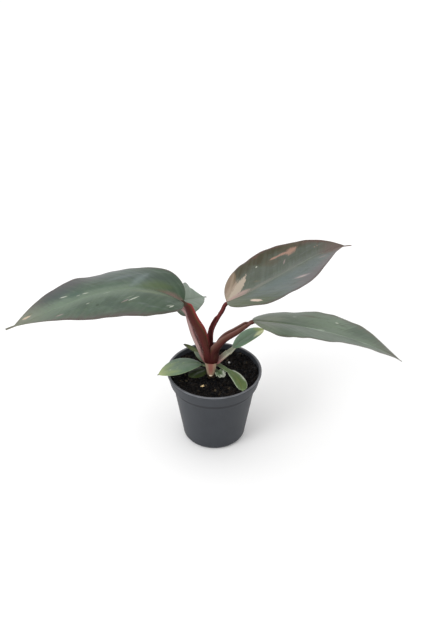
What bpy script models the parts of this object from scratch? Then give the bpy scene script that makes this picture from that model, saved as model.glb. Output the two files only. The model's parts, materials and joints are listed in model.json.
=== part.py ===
"""A young pink princess philodendron in its small round nursery pot.

Metres, +Z up. The origin is the centre of the pot's underside. A short stem stands in the
soil a little left of the middle. Four large leaves, each an arched blade on its own sheathed
petiole, and seven small ones grow from it. The sizes at the top are in millimetres and
degrees.
"""

import math
from dataclasses import dataclass

import bmesh
import bpy
import numpy as np
from mathutils import Vector, noise

MM = 0.001
GAP = 0.3  # between pieces that touch

# Pot
POT_HEIGHT = 50.0
POT_WALL = 0.9
RIM_RADIUS = 30.0
RIM_LIP_HEIGHT = 1.2
RIM_LIP_STEP = 0.5
COLLAR_HEIGHT = 8.8
COLLAR_FOOT_RADIUS = 28.05
SHOULDER_HEIGHT = 1.8
SHOULDER_RADIUS = 26.1
BASE_RADIUS = 20.2
BASE_CORNER = 3.0
CORNER_STEPS = 5
POT_SEGMENTS = 56

# Pot floor: a hub and a ring stand on the table, and the holes lie between them
FLOOR_TOP = 1.8
FLOOR_RECESS = 0.8
HUB_RADIUS = 6.0
RING_RADIUS = 13.2
DRAIN_COUNT = 6
DRAIN_RADIUS = 2.3
DRAIN_CIRCLE = 9.6

# Soil
SOIL_LEVEL = 45.3
SOIL_RINGS = 12
LUMP_HEIGHT = 0.9
LUMP_SIZE = 6.0
CRUMB_HEIGHT = 0.5
CRUMB_SIZE = 2.6
BANK_HEIGHT = 2.0  # of the soil against the wall
BANK_FROM = 0.7  # share of the radius where it begins
HOLLOW_AT = 90.0  # where the bank is lowest, from +X towards +Y
HOLLOW_SPREAD = 28.0
HOLLOW_DEPTH = 0.8

# Stem
STEM_X = -2.2
STEM_Y = -1.5
STEM_FOOT = 22.0
CROWN_BASE = 60.0
CROWN_RADIUS = 4.6
CORE_RADIUS = 3.2
CROWN_TOP = 68.0
STEM_SEGMENTS = 24

# Blades
BLADE_THICKNESS = 0.7
TIP_WIDTH = 0.6

# Petioles
WING_EDGE = 0.9
GROOVE_FLOOR = 0.3
ARC_STEPS = 6

POT_GREY = (0.075, 0.08, 0.086)
SOIL_BROWN = (0.012, 0.010, 0.009)
MAROON = (0.09, 0.016, 0.02)
TAN_PINK = (0.42, 0.19, 0.15)
ASH_PINK = (0.24, 0.13, 0.12)
LEAF_GREEN = (0.07, 0.12, 0.07)
PALE_GREEN = (0.22, 0.30, 0.20)
FRESH_GREEN = (0.16, 0.26, 0.10)
DARK_GREEN = (0.03, 0.07, 0.02)
CREAM_GREEN = (0.40, 0.46, 0.30)


@dataclass
class Blade:
    """One leaf blade. Each triple holds a value at its base, its middle and its tip."""

    base: tuple  # where the midrib starts
    length: float
    width: float
    heading: tuple  # of the midrib, from +X towards +Y
    rise: tuple  # of the midrib above level
    roll: tuple  # the right side up, looking from base to tip
    fold: tuple  # of both halves up from the midrib
    curl: tuple  # of each half between midrib and margin, down where negative
    blunt: float  # power of the outline at the base, smaller is rounder
    sharp: float  # power of the outline at the tip
    drip: float  # share of the length in the narrow drip tip
    colour: tuple
    wave: float = 0.0
    waves: float = 3.0
    lift_left: tuple = (0.0, 0.0)  # of the left margin, evenly spaced from base to tip
    lift_right: tuple = (0.0, 0.0)
    rib: float = 1.5  # thickness along the midrib at the base
    neck: float = 0.0  # a stalk of the same tissue, before the base
    neck_half: float = 0.8  # half of its width
    rows: int = 26
    columns: int = 10


WAIST_AT = 0.2  # share of the stalk's length
WAIST_REACH = 0.2


@dataclass
class Petiole:
    """One leaf stalk, a winged sheath below and a plain round stalk above the notch."""

    path: tuple  # from the stem up, without the last stretch to the blade
    half_width: tuple  # at the base, the middle and the top
    back: tuple  # depth behind the groove
    wing: tuple  # height of the sheath's wings
    wing_from: float  # share of the length where the wings have reached that height
    notch: float  # share of the length where the wings end
    colour: tuple
    last_stretch: float = 4.0  # straight on into the midrib, or 0 where the path is whole
    turn: float = 0.0  # of the groove about the stalk, in degrees
    waist: float = 0.0  # how much narrower the sheath is above the crown, as a share
    rings: int = 20


BLADES = {
    "blade_left": Blade(
        base=(-18.5, -3.0, 101.8), length=110.5, width=47.5,
        heading=(187, 198, 187), rise=(43, -7, -21), roll=(17, 6, 26),
        fold=(29, 12, 34), curl=(-22, -36, 42), blunt=0.49, sharp=1.0, drip=0.05,
        colour=LEAF_GREEN, wave=0.5, lift_left=(0.0, 0.4, 1.0, 0.9, 0.3, 0.3, 0.0, 0.0),
        lift_right=(0.0, 1.1, -0.4, -0.8, 1.0, -0.9, -0.6, 0.3),
    ),
    "blade_upper": Blade(
        base=(7.3, 5.6, 96.7), length=105.0, width=45.0,
        heading=(10, 41, 34), rise=(20, 5, -15), roll=(11, -11, -1),
        fold=(19, 15, 27), curl=(-22, -3, 27), blunt=0.28, sharp=0.95, drip=0.06,
        colour=LEAF_GREEN, wave=0.5, lift_right=(0.0, 1.2, 2.4, 1.0, 1.8, 1.2, 0.0, 0.0),
    ),
    "blade_lower": Blade(
        base=(23.2, -2.0, 88.0), length=95.5, width=47.0,
        heading=(8, -15, 1), rise=(-10, -7, -38), roll=(15, 12, 8),
        fold=(14, 15, 15), curl=(-41, -15, -6), blunt=0.58, sharp=1.1, drip=0.02,
        colour=LEAF_GREEN, wave=0.5, lift_left=(0.0, 0.3, 0.0, 0.0, 0.3, 0.4, 0.0, 0.0),
        lift_right=(0.0, 0.0, 0.0, 0.4, 0.8, 0.4, 0.0, 0.0),
    ),
    "blade_back": Blade(
        base=(-26.2, 12.0, 91.8), length=49.0, width=22.5,
        heading=(59, 63, 61), rise=(-18, -25, -25), roll=(-76, -43, -25),
        fold=(34, 25, 8), curl=(0, 0, 0), blunt=0.2, sharp=0.84, drip=0.08,
        colour=PALE_GREEN, wave=0.3, rows=20, columns=8,
    ),
    "blade_small_right": Blade(
        base=(11.7, 3.0, 64.3), length=24.2, width=12.0,
        heading=(30, 30, 25), rise=(33, 17, -4), roll=(1, 6, -1),
        fold=(11, 12, 10), curl=(-21, -18, -10), blunt=0.73, sharp=0.67, drip=0.03,
        colour=FRESH_GREEN, rib=1.1, rows=14, columns=6,
    ),
    "leaf_small_left": Blade(
        base=(-7.3, -3.0, 56.1), length=30.0, width=15.0,
        heading=(189, 191, 192), rise=(21, -12, -27), roll=(-9, 1, 0),
        fold=(11, 8, 11), curl=(-21, -22, -9), blunt=0.85, sharp=0.83, drip=0.03,
        colour=FRESH_GREEN, rib=1.3, neck=2.6, rows=16, columns=6,
    ),
    "leaf_small_front": Blade(
        base=(8.9, -7.0, 54.0), length=18.0, width=7.8,
        heading=(-46, -57, -88), rise=(0, -17, -27), roll=(-3, 9, 3),
        fold=(14, 12, 11), curl=(-18, -18, -9), blunt=0.65, sharp=0.5, drip=0.03,
        colour=FRESH_GREEN, rib=1.1, neck=11.0, neck_half=1.5, rows=18, columns=6,
    ),
    "leaf_small_dark": Blade(
        base=(-5.7, -4.3, 53.0), length=12.0, width=10.6,
        heading=(206, 210, 216), rise=(2, -8, -16), roll=(-6, -6, -6),
        fold=(10, 8, 6), curl=(-20, -20, -10), blunt=0.6, sharp=0.7, drip=0.02,
        colour=DARK_GREEN, rib=1.1, neck=3.0, rows=12, columns=6,
    ),
    "leaf_small_back": Blade(
        base=(-6.2, 4.2, 57.0), length=15.5, width=2.6,
        heading=(156, 154, 152), rise=(23, 19, 9), roll=(14, 12, 10),
        fold=(16, 14, 12), curl=(-14, -14, -10), blunt=0.7, sharp=0.7, drip=0.03,
        colour=DARK_GREEN, rib=1.0, neck=3.4, rows=14, columns=6,
    ),
    "leaf_small_upright": Blade(
        base=(-6.1, -0.2, 56.2), length=9.0, width=5.2,
        heading=(168, 166, 160), rise=(36, 44, 50), roll=(-10, -10, -10),
        fold=(14, 12, 10), curl=(-20, -20, -10), blunt=0.6, sharp=0.7, drip=0.03,
        colour=FRESH_GREEN, rib=1.0, neck=2.4, rows=12, columns=6,
    ),
    "leaf_tiny": Blade(
        base=(2.1, -5.2, 52.6), length=6.4, width=6.2,
        heading=(-52, -50, -45), rise=(4, -14, -30), roll=(0, 0, 0),
        fold=(12, 10, 6), curl=(-20, -16, -8), blunt=0.5, sharp=0.6, drip=0.03,
        colour=CREAM_GREEN, wave=0.5, waves=2.6, rib=1.0, neck=3.4, rows=12, columns=6,
    ),
}

PETIOLES = {
    "petiole_left": Petiole(
        path=((-4.9, -5.0, 60.8), (-5.4, -5.0, 69.0), (-9.0, -3.9, 80.0), (-13.1, -3.2, 89.0)),
        half_width=(2.7, 3.8, 2.1), back=(1.6, 2.0, 1.4),
        wing=(1.2, 3.0, 1.4), wing_from=0.3, notch=0.92, colour=MAROON, last_stretch=3.0,
        turn=42.0, waist=0.34,
    ),
    "petiole_upper": Petiole(
        path=(
            (-2.4, -1.3, 66.5), (-3.0, -0.6, 73.0), (-1.7, 1.0, 80.0), (1.8, 2.9, 86.6),
            (4.7, 4.2, 91.0), (6.7, 5.2, 95.0),
        ),
        half_width=(2.2, 1.7, 1.3), back=(2.2, 1.5, 1.3),
        wing=(1.8, 1.4, 1.2), wing_from=0.3, notch=0.7, colour=MAROON, last_stretch=0.0,
    ),
    "petiole_lower": Petiole(
        path=(
            (0.4, -4.9, 60.8), (1.5, -4.4, 68.8), (6.5, -3.7, 75.4), (13.4, -3.0, 80.2),
            (18.6, -2.6, 84.3), (22.0, -2.3, 86.9),
        ),
        half_width=(2.9, 2.7, 1.4), back=(1.7, 1.8, 1.3),
        wing=(2.6, 2.8, 1.2), wing_from=0.2, notch=0.91, colour=MAROON, last_stretch=0.0,
    ),
    "petiole_back": Petiole(
        path=(
            (-6.2, -0.4, 59.6), (-10.1, 1.1, 68.0), (-13.2, 3.5, 75.2), (-15.2, 5.3, 82.0),
            (-17.0, 7.8, 87.4), (-21.0, 9.6, 90.6), (-25.2, 9.6, 91.6), (-28.2, 10.6, 91.4),
        ),
        half_width=(2.3, 2.0, 1.1), back=(1.3, 1.4, 1.1),
        wing=(0.8, 1.8, 1.0), wing_from=0.42, notch=0.66, colour=ASH_PINK, last_stretch=0.0,
        rings=24,
    ),
    "petiole_small_right": Petiole(
        path=((1.4, -1.6, 56.4), (5.0, -0.6, 59.6), (8.4, 1.0, 62.0)),
        half_width=(3.2, 2.7, 1.0), back=(1.3, 1.1, 0.8),
        wing=(1.0, 0.9, 0.7), wing_from=0.3, notch=0.84, colour=TAN_PINK, rings=14,
    ),
}

# The blade that each petiole carries
CARRIES = {
    "petiole_left": "blade_left",
    "petiole_upper": "blade_upper",
    "petiole_lower": "blade_lower",
    "petiole_back": "blade_back",
    "petiole_small_right": "blade_small_right",
}

# Old petiole: a tapering stub in front of the stem
STUB_TOP = (-2.2, -6.4, 58.9)
STUB_MIDDLE = (-2.2, -7.0, 55.0)
STUB_FOOT = (-2.3, -7.8, 50.6)
STUB_HALF_WIDTH = (3.5, 2.8, 1.9)
STUB_BACK = (0.9, 0.9, 0.8)
STUB_WING = 1.5


def clear_scene():
    for obj in list(bpy.data.objects):
        bpy.data.objects.remove(obj, do_unlink=True)


def make_collection(name, hidden=False):
    collection = bpy.data.collections.new(name)
    collection.hide_render = hidden
    bpy.context.scene.collection.children.link(collection)
    return collection


def make_material(name, colour, roughness=0.5):
    material = bpy.data.materials.new(name)
    material.use_nodes = True
    shader = material.node_tree.nodes["Principled BSDF"]
    shader.inputs["Base Color"].default_value = (*colour, 1.0)
    shader.inputs["Roughness"].default_value = roughness
    shader.inputs["Metallic"].default_value = 0.0
    material.diffuse_color = (*colour, 1.0)
    return material


def new_object(name, mesh, collection, colour=None, roughness=0.5):
    obj = bpy.data.objects.new(name, mesh)
    collection.objects.link(obj)
    if colour:
        mesh.materials.append(make_material(name, colour, roughness))
    return obj


def baked(obj):
    """Give the object the mesh that its modifiers make, and drop the modifiers."""
    depsgraph = bpy.context.evaluated_depsgraph_get()
    mesh = bpy.data.meshes.new_from_object(obj.evaluated_get(depsgraph))
    obj.modifiers.clear()
    obj.data = mesh


def smooth(obj, angle=40.0):
    obj.data.shade_smooth()
    obj.data.set_sharp_from_angle(angle=math.radians(angle))


def subtract(obj, cutter):
    cut = obj.modifiers.new("cut_" + cutter.name, "BOOLEAN")
    cut.operation = "DIFFERENCE"
    cut.solver = "EXACT"
    cut.object = cutter


def hide_cutter(obj):
    obj.hide_render = True
    obj.display_type = "WIRE"


def turned(name, profile, segments, collection, centre=(0.0, 0.0), **look):
    """Turn a profile of (radius, height) round the vertical line through centre."""
    mesh = bpy.data.meshes.new(name)
    points = [(r * MM, 0.0, z * MM) for r, z in profile]
    edges = [(i, i + 1) for i in range(len(points) - 1)]
    mesh.from_pydata(points, edges, [])
    obj = new_object(name, mesh, collection, **look)
    obj.location = (centre[0] * MM, centre[1] * MM, 0.0)
    screw = obj.modifiers.new("turn", "SCREW")
    screw.steps = segments
    screw.render_steps = segments
    screw.use_merge_vertices = True
    screw.merge_threshold = 0.00001
    return obj


# Pot

def pot_outside(steps=CORNER_STEPS):
    """The outer wall, from the rim down to the ring that the pot stands on."""
    collar_foot = POT_HEIGHT - COLLAR_HEIGHT
    points = [
        (RIM_RADIUS - 0.3, POT_HEIGHT),
        (RIM_RADIUS, POT_HEIGHT - 0.3),
        (RIM_RADIUS, POT_HEIGHT - RIM_LIP_HEIGHT + 0.2),
        (RIM_RADIUS - RIM_LIP_STEP, POT_HEIGHT - RIM_LIP_HEIGHT - 0.3),
        (COLLAR_FOOT_RADIUS, collar_foot),
        (SHOULDER_RADIUS, collar_foot - SHOULDER_HEIGHT),
    ]
    for k in range(steps + 1):
        turn = math.pi / 2 * k / steps
        points.append((
            BASE_RADIUS - BASE_CORNER * (1.0 - math.cos(turn)),
            BASE_CORNER * (1.0 - math.sin(turn)),
        ))
    return points


def inside_radius(z, clearance=0.0):
    """Radius of the pot's inside at a height, less a clearance."""
    collar_foot = POT_HEIGHT - COLLAR_HEIGHT
    heights = [0.0, FLOOR_TOP, BASE_CORNER, collar_foot - SHOULDER_HEIGHT, collar_foot, POT_HEIGHT]
    radii = [
        BASE_RADIUS - 2.6, BASE_RADIUS - 2.2, BASE_RADIUS, SHOULDER_RADIUS,
        COLLAR_FOOT_RADIUS, RIM_RADIUS - RIM_LIP_STEP,
    ]
    return float(np.interp(z, heights, radii)) - POT_WALL - clearance


def make_pot(collection, cutters):
    collar_foot = POT_HEIGHT - COLLAR_HEIGHT
    inside = [(inside_radius(z), z) for z in (
        FLOOR_TOP, BASE_CORNER, collar_foot - SHOULDER_HEIGHT, collar_foot, POT_HEIGHT - 0.2,
    )]
    underside = [
        (RING_RADIUS, 0.0),
        (RING_RADIUS - FLOOR_RECESS, FLOOR_RECESS),
        (HUB_RADIUS + FLOOR_RECESS, FLOOR_RECESS),
        (HUB_RADIUS, 0.0),
        (0.0, 0.0),
    ]
    rim = [(inside[-1][0] + 0.2, POT_HEIGHT)]
    profile = [(0.0, FLOOR_TOP)] + inside + rim + pot_outside() + underside
    pot = turned("pot", profile, POT_SEGMENTS, collection, colour=POT_GREY, roughness=0.45)
    for k in range(DRAIN_COUNT):
        mesh = bpy.data.meshes.new("drain")
        bm = bmesh.new()
        bmesh.ops.create_cone(
            bm, cap_ends=True, segments=16, radius1=DRAIN_RADIUS * MM, radius2=DRAIN_RADIUS * MM,
            depth=4 * FLOOR_TOP * MM,
        )
        bm.to_mesh(mesh)
        bm.free()
        drain = new_object(f"drain_{k}", mesh, cutters)
        turn = 2 * math.pi * (k + 0.5) / DRAIN_COUNT
        drain.location = (
            DRAIN_CIRCLE * math.cos(turn) * MM, DRAIN_CIRCLE * math.sin(turn) * MM,
            FLOOR_TOP / 2 * MM,
        )
        hide_cutter(drain)
        subtract(pot, drain)
    smooth(pot, 30.0)
    return pot


# Soil

def lump(x, y):
    """Height of the soil's surface above its level, in millimetres."""
    broad = noise.noise(Vector((x / LUMP_SIZE, y / LUMP_SIZE, 2.3)))
    fine = noise.noise(Vector((x / CRUMB_SIZE, y / CRUMB_SIZE, 7.9)))
    turn = math.degrees(math.atan2(y, x)) - HOLLOW_AT
    low = HOLLOW_DEPTH * math.exp(-(turn / HOLLOW_SPREAD) ** 2)
    bank = ease(BANK_FROM, 1.0, math.hypot(x, y) / inside_radius(SOIL_LEVEL, GAP))
    return LUMP_HEIGHT * broad + CRUMB_HEIGHT * fine + BANK_HEIGHT * (1.0 - low) * float(bank)


def make_soil(collection, stem_cutter):
    collar_foot = POT_HEIGHT - COLLAR_HEIGHT
    bottom = FLOOR_TOP + GAP
    edge = inside_radius(SOIL_LEVEL, GAP)
    top = [(edge * k / SOIL_RINGS, SOIL_LEVEL) for k in range(SOIL_RINGS + 1)]
    side = [
        (inside_radius(z, GAP), z)
        for z in (collar_foot, collar_foot - SHOULDER_HEIGHT, BASE_CORNER, bottom)
    ]
    profile = top + side + [(0.0, bottom)]
    soil = turned("soil", profile, POT_SEGMENTS, collection, colour=SOIL_BROWN, roughness=0.95)
    baked(soil)
    for vertex in soil.data.vertices:
        x, y, z = vertex.co / MM
        if z > SOIL_LEVEL - 0.01:
            vertex.co.z += lump(x, y) * MM
    subtract(soil, stem_cutter)
    return soil


# Stem

def stem_profile(grow=0.0):
    """Root end, shank, the ring that the petioles sit on, and the core between them."""
    return [
        (0.0, CROWN_TOP + grow),
        (CORE_RADIUS * 0.7 + grow, CROWN_TOP - 0.5 + grow / 2),
        (CORE_RADIUS * 0.95 + grow, CROWN_TOP - 1.8),
        (CORE_RADIUS + 0.1 + grow, CROWN_BASE + 0.5 + grow),
        (CROWN_RADIUS - 0.2 + grow, CROWN_BASE + 0.2 + grow),
        (CROWN_RADIUS + grow, CROWN_BASE - 0.4),
        (CROWN_RADIUS - 0.2 + grow, CROWN_BASE - 1.2),
        (3.6 + grow, CROWN_BASE - 3.0),
        (2.9 + grow, CROWN_BASE - 8.0),
        (2.5 + grow, SOIL_LEVEL),
        (2.5 + grow, STEM_FOOT + 14.0),
        (2.3 + grow, STEM_FOOT + 2.0),
        (1.8 + grow, STEM_FOOT + 0.4 - grow / 2),
        (0.0, STEM_FOOT - grow),
    ]


def make_stem(collection, cutters):
    where = (STEM_X, STEM_Y)
    stem = turned(
        "stem", stem_profile(), STEM_SEGMENTS, collection, centre=where, colour=MAROON,
        roughness=0.4,
    )
    smooth(stem, 50.0)
    cutter = turned("stem_cutter", stem_profile(GAP), STEM_SEGMENTS, cutters, centre=where)
    hide_cutter(cutter)
    return stem, cutter


# Blades

def bend(values, t):
    """The curve through a value at 0, one at a half and one at 1."""
    start, middle, end = values
    return start * (1 - t) * (1 - 2 * t) + middle * 4 * t * (1 - t) + end * t * (2 * t - 1)


def ease(start, end, t):
    x = np.clip((t - start) / (end - start), 0.0, 1.0)
    return x * x * (3.0 - 2.0 * x)


def between(values, t):
    """Smoothly from each of the evenly spaced values to the next."""
    last = len(values) - 1
    place = np.clip(t, 0.0, 1.0) * last
    low = np.minimum(place.astype(int), last - 1)
    share = ease(0.0, 1.0, place - low)
    values = np.array(values)
    return values[low] * (1.0 - share) + values[low + 1] * share


def directions(blade, t):
    """Along the midrib, to its right, and up from the blade, one row for each t."""
    heading = np.radians(bend(blade.heading, t))
    rise = np.radians(bend(blade.rise, t))
    along = np.stack(
        [np.cos(rise) * np.cos(heading), np.cos(rise) * np.sin(heading), np.sin(rise)], -1
    )
    right = np.cross(along, (0.0, 0.0, 1.0))
    right /= np.linalg.norm(right, axis=1)[:, None]
    up = np.cross(right, along)
    roll = np.radians(bend(blade.roll, t))[:, None]
    return along, right * np.cos(roll) + up * np.sin(roll), up * np.cos(roll) - right * np.sin(roll)


def midrib(blade, t):
    """Points of the midrib. A t below 0 lies on the neck, which runs on straight."""
    fine = np.linspace(0.0, 1.0, 201)
    along, _, _ = directions(blade, (fine[1:] + fine[:-1]) / 2)
    steps = np.vstack([np.zeros(3), np.cumsum(along, axis=0) * blade.length / 200])
    inside = np.clip(t, 0.0, 1.0)
    points = np.stack([np.interp(inside, fine, steps[:, k]) for k in range(3)], -1)
    start, _, _ = directions(blade, np.zeros(1))
    return np.array(blade.base) + points + start * (np.minimum(t, 0.0) * blade.length)[:, None]


def half_width(blade, t):
    """Half of the outline's width, with a rounded base and a narrow drip tip."""
    x = np.clip(t / (1.0 - blade.drip), 0.0, 1.0)
    widest = blade.blunt / (blade.blunt + blade.sharp)
    shape = x ** blade.blunt * (1.0 - x) ** blade.sharp
    shape /= widest ** blade.blunt * (1.0 - widest) ** blade.sharp
    half = blade.width / 2 * shape + TIP_WIDTH / 2
    if blade.neck:
        half = np.maximum(half, blade.neck_half * (t < 0.1))
    return half


def blade_points(blade, t, v):
    """Points of the upper face. v runs from -1, the left margin, to 1, the right one."""
    inside = np.clip(t, 0.0, 1.0)
    _, right, up = directions(blade, inside)
    half = half_width(blade, t)
    fold = np.radians(bend(blade.fold, inside))
    curl = np.radians(bend(blade.curl, inside))
    curl = np.where(np.abs(curl) < 1e-4, 1e-4, curl)
    reach = np.abs(v)
    across = half * (np.sin(fold + curl * reach) - np.sin(fold)) / curl * np.sign(v)
    height = half * (np.cos(fold) - np.cos(fold + curl * reach)) / curl
    phase = 2 * np.pi * blade.waves * inside + np.where(v > 0, 1.3, 0.0)
    wave = blade.wave * np.sin(phase) * half / (blade.width / 2)
    lift = np.where(v > 0, between(blade.lift_right, inside), between(blade.lift_left, inside))
    height = height + (wave + lift) * reach ** 2
    return midrib(blade, t) + right * across[:, None] + up * height[:, None]


def make_blade(name, blade, collection, stem_cutter):
    """A grid laid on the leaf's surface, with a thicker rib below its middle."""
    bm = bmesh.new()
    bmesh.ops.create_grid(bm, x_segments=blade.rows, y_segments=blade.columns, size=1.0)
    bmesh.ops.triangulate(bm, faces=bm.faces[:], quad_method="SHORT_EDGE")
    mesh = bpy.data.meshes.new(name)
    bm.to_mesh(mesh)
    bm.free()
    flat = np.empty(len(mesh.vertices) * 3)
    mesh.vertices.foreach_get("co", flat)
    flat = flat.reshape(-1, 3)
    share = (flat[:, 0] + 1) / 2
    neck = blade.neck / blade.length
    eased = (share + (1 - np.cos(np.pi * share)) / 2) / 2 if neck else (1 - np.cos(np.pi * share)) / 2
    t = eased * (1.0 + neck) - neck
    v = -flat[:, 1]
    points = blade_points(blade, t, v)
    mesh.vertices.foreach_set("co", (points * MM).ravel())
    obj = new_object(name, mesh, collection, colour=blade.colour, roughness=0.38)
    rib = BLADE_THICKNESS + (blade.rib - BLADE_THICKNESS) * (1.0 - np.clip(t, 0.0, 1.0)) ** 0.8
    near_rib = np.clip(1.0 - np.abs(v) * half_width(blade, t) / 1.6, 0.0, 1.0)
    near_rib = np.where(t < 0.0, 1.0, near_rib)
    thickness = BLADE_THICKNESS + (rib - BLADE_THICKNESS) * near_rib
    group = obj.vertex_groups.new(name="thickness")
    for index, value in enumerate(thickness):
        group.add([index], float(value / blade.rib), "REPLACE")
    solid = obj.modifiers.new("thickness", "SOLIDIFY")
    solid.thickness = blade.rib * MM
    solid.offset = -1.0
    solid.vertex_group = "thickness"
    solid.thickness_vertex_group = 0.0
    smooth(obj, 60.0)
    if blade.neck:
        subtract(obj, stem_cutter)
    return obj


# Petioles

def smooth_line(points, count):
    """Evenly spaced points on the smooth line through the given ones."""
    points = np.array(points, dtype=float)
    ends = np.vstack([2 * points[0] - points[1], points, 2 * points[-1] - points[-2]])
    fine = []
    for i in range(len(points) - 1):
        a, b, c, d = ends[i:i + 4]
        for t in np.linspace(0.0, 1.0, 24, endpoint=False):
            fine.append(0.5 * (
                2 * b + (c - a) * t + (2 * a - 5 * b + 4 * c - d) * t ** 2
                + (3 * b - a - 3 * c + d) * t ** 3
            ))
    fine.append(points[-1])
    fine = np.array(fine)
    run = np.concatenate([[0.0], np.cumsum(np.linalg.norm(np.diff(fine, axis=0), axis=1))])
    where = np.linspace(0.0, run[-1], count)
    return np.stack([np.interp(where, run, fine[:, k]) for k in range(3)], -1)


def stalk_section(half, back, wing, rounded):
    """Outline of a stalk as (across, towards the groove). rounded 1 is a plain round one."""
    outline = []
    for k in range(ARC_STEPS + 1):
        turn = math.pi * (1 + k / ARC_STEPS)
        outline.append((half * math.cos(turn), back * math.sin(turn), turn))
    lip = 0.9 * half
    edge = max(lip - WING_EDGE, 0.5 * half)
    floor = min(GROOVE_FLOOR, wing)
    inner = ((lip, wing), (edge, wing), (0.4 * half, floor), (0.0, floor),
             (-0.4 * half, floor), (-edge, wing), (-lip, wing))
    for k, (across, height) in enumerate(inner):
        outline.append((across, height, math.pi * (2 + (k + 1) / (len(inner) + 1))))
    radius = (half + back) / 2
    return [
        (
            across * (1 - rounded) + radius * math.cos(turn) * rounded,
            height * (1 - rounded) + radius * math.sin(turn) * rounded,
        )
        for across, height, turn in outline
    ]


def loft(name, rings, collection, **look):
    """A closed body through rings of points, in millimetres, with flat ends."""
    bm = bmesh.new()
    loops = [[bm.verts.new(Vector(p) * MM) for p in ring] for ring in rings]
    for low, high in zip(loops, loops[1:]):
        for i in range(len(low)):
            j = (i + 1) % len(low)
            bm.faces.new((low[i], low[j], high[j], high[i]))
    bm.faces.new(loops[0])
    bm.faces.new(loops[-1])
    bmesh.ops.recalc_face_normals(bm, faces=bm.faces[:])
    mesh = bpy.data.meshes.new(name)
    bm.to_mesh(mesh)
    bm.free()
    obj = new_object(name, mesh, collection, **look)
    smooth(obj, 50.0)
    return obj


def stalk_rings(points, sections, end_up=1.0, turn=0.0):
    """Set each section square to the line. The groove faces the stem at the base, and
    turns towards up along the stalk by the share end_up. All of it is turned about the
    stalk by turn degrees."""
    turn = math.radians(turn)
    along = np.gradient(points, axis=0)
    along /= np.linalg.norm(along, axis=1)[:, None]
    rings = []
    for k, (point, tangent, section) in enumerate(zip(points, along, sections)):
        share = end_up * k / (len(points) - 1)
        inward = np.array((STEM_X - point[0], STEM_Y - point[1], 0.0))
        inward /= max(np.linalg.norm(inward), 1.0)
        groove = inward * (1.0 - share) + np.array((0.0, 0.0, share))
        groove = groove - tangent * (groove @ tangent)
        groove /= np.linalg.norm(groove)
        groove = groove * math.cos(turn) + np.cross(tangent, groove) * math.sin(turn)
        side = np.cross(tangent, groove)
        rings.append([point + side * across + groove * height for across, height in section])
    return rings


def make_petiole(name, petiole, blade, collection, stem_cutter):
    """A stalk from inside the stem's side, cut to fit it, to just short of its blade."""
    along, _, up = directions(blade, np.zeros(1))
    top = np.array(blade.base) - along[0] * 1.8 * GAP - up[0] * blade.rib / 2
    path = list(petiole.path)
    if petiole.last_stretch:
        path += [top - along[0] * petiole.last_stretch, top]
    t = np.linspace(0.0, 1.0, petiole.rings)
    half = bend(petiole.half_width, t)
    half = half * (1.0 - petiole.waist * np.exp(-(((t - WAIST_AT) / WAIST_REACH) ** 2)))
    back = bend(petiole.back, t)
    wing = bend(petiole.wing, t)
    wing = 0.5 + (wing - 0.5) * ease(0.1, petiole.wing_from, t)
    wing = wing * (1.0 - ease(petiole.notch - 0.06, petiole.notch, t)) + 0.05
    rounded = ease(petiole.notch - 0.08, petiole.notch + 0.06, t)
    sections = [stalk_section(*values) for values in zip(half, back, wing, rounded)]
    rings = stalk_rings(smooth_line(path, petiole.rings), sections, turn=petiole.turn)
    obj = loft(name, rings, collection, colour=petiole.colour, roughness=0.4)
    subtract(obj, stem_cutter)
    return obj


def make_old_petiole(collection, stem_cutter):
    points = smooth_line((STUB_TOP, STUB_MIDDLE, STUB_FOOT), 9)
    t = np.linspace(0.0, 1.0, 9)
    half = bend(STUB_HALF_WIDTH, t)
    back = bend(STUB_BACK, t)
    sections = [stalk_section(h, b, STUB_WING, 0.0) for h, b in zip(half, back)]
    rings = stalk_rings(points, sections, end_up=0.0)
    obj = loft("old_petiole", rings, collection, colour=TAN_PINK, roughness=0.5)
    subtract(obj, stem_cutter)
    return obj


def main():
    clear_scene()
    plant = make_collection("pink_princess_philodendron")
    cutters = make_collection("cutters", hidden=True)
    _, stem_cutter = make_stem(plant, cutters)
    make_pot(plant, cutters)
    make_soil(plant, stem_cutter)
    make_old_petiole(plant, stem_cutter)
    for name, blade in BLADES.items():
        make_blade(name, blade, plant, stem_cutter)
    for name, petiole in PETIOLES.items():
        make_petiole(name, petiole, BLADES[CARRIES[name]], plant, stem_cutter)


main()
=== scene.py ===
"""The looks of a young pink princess philodendron in its nursery pot.

Laid out as an add-on and run as a script. Each operator makes one piece or one group of like
pieces round the CAD frame, and the last one makes the stage. Values of the soil, the leaves, the
stalks and the stem are in millimetres and degrees. Those of the settings, the pot, the scattered
bits and the stage are in metres and radians, as Blender's own are.
"""

import json
import math
from dataclasses import dataclass
from types import SimpleNamespace

import bmesh
import bpy
import numpy as np
from bpy.props import FloatProperty, FloatVectorProperty, IntProperty, PointerProperty
from mathutils import Euler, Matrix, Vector, noise

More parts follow.
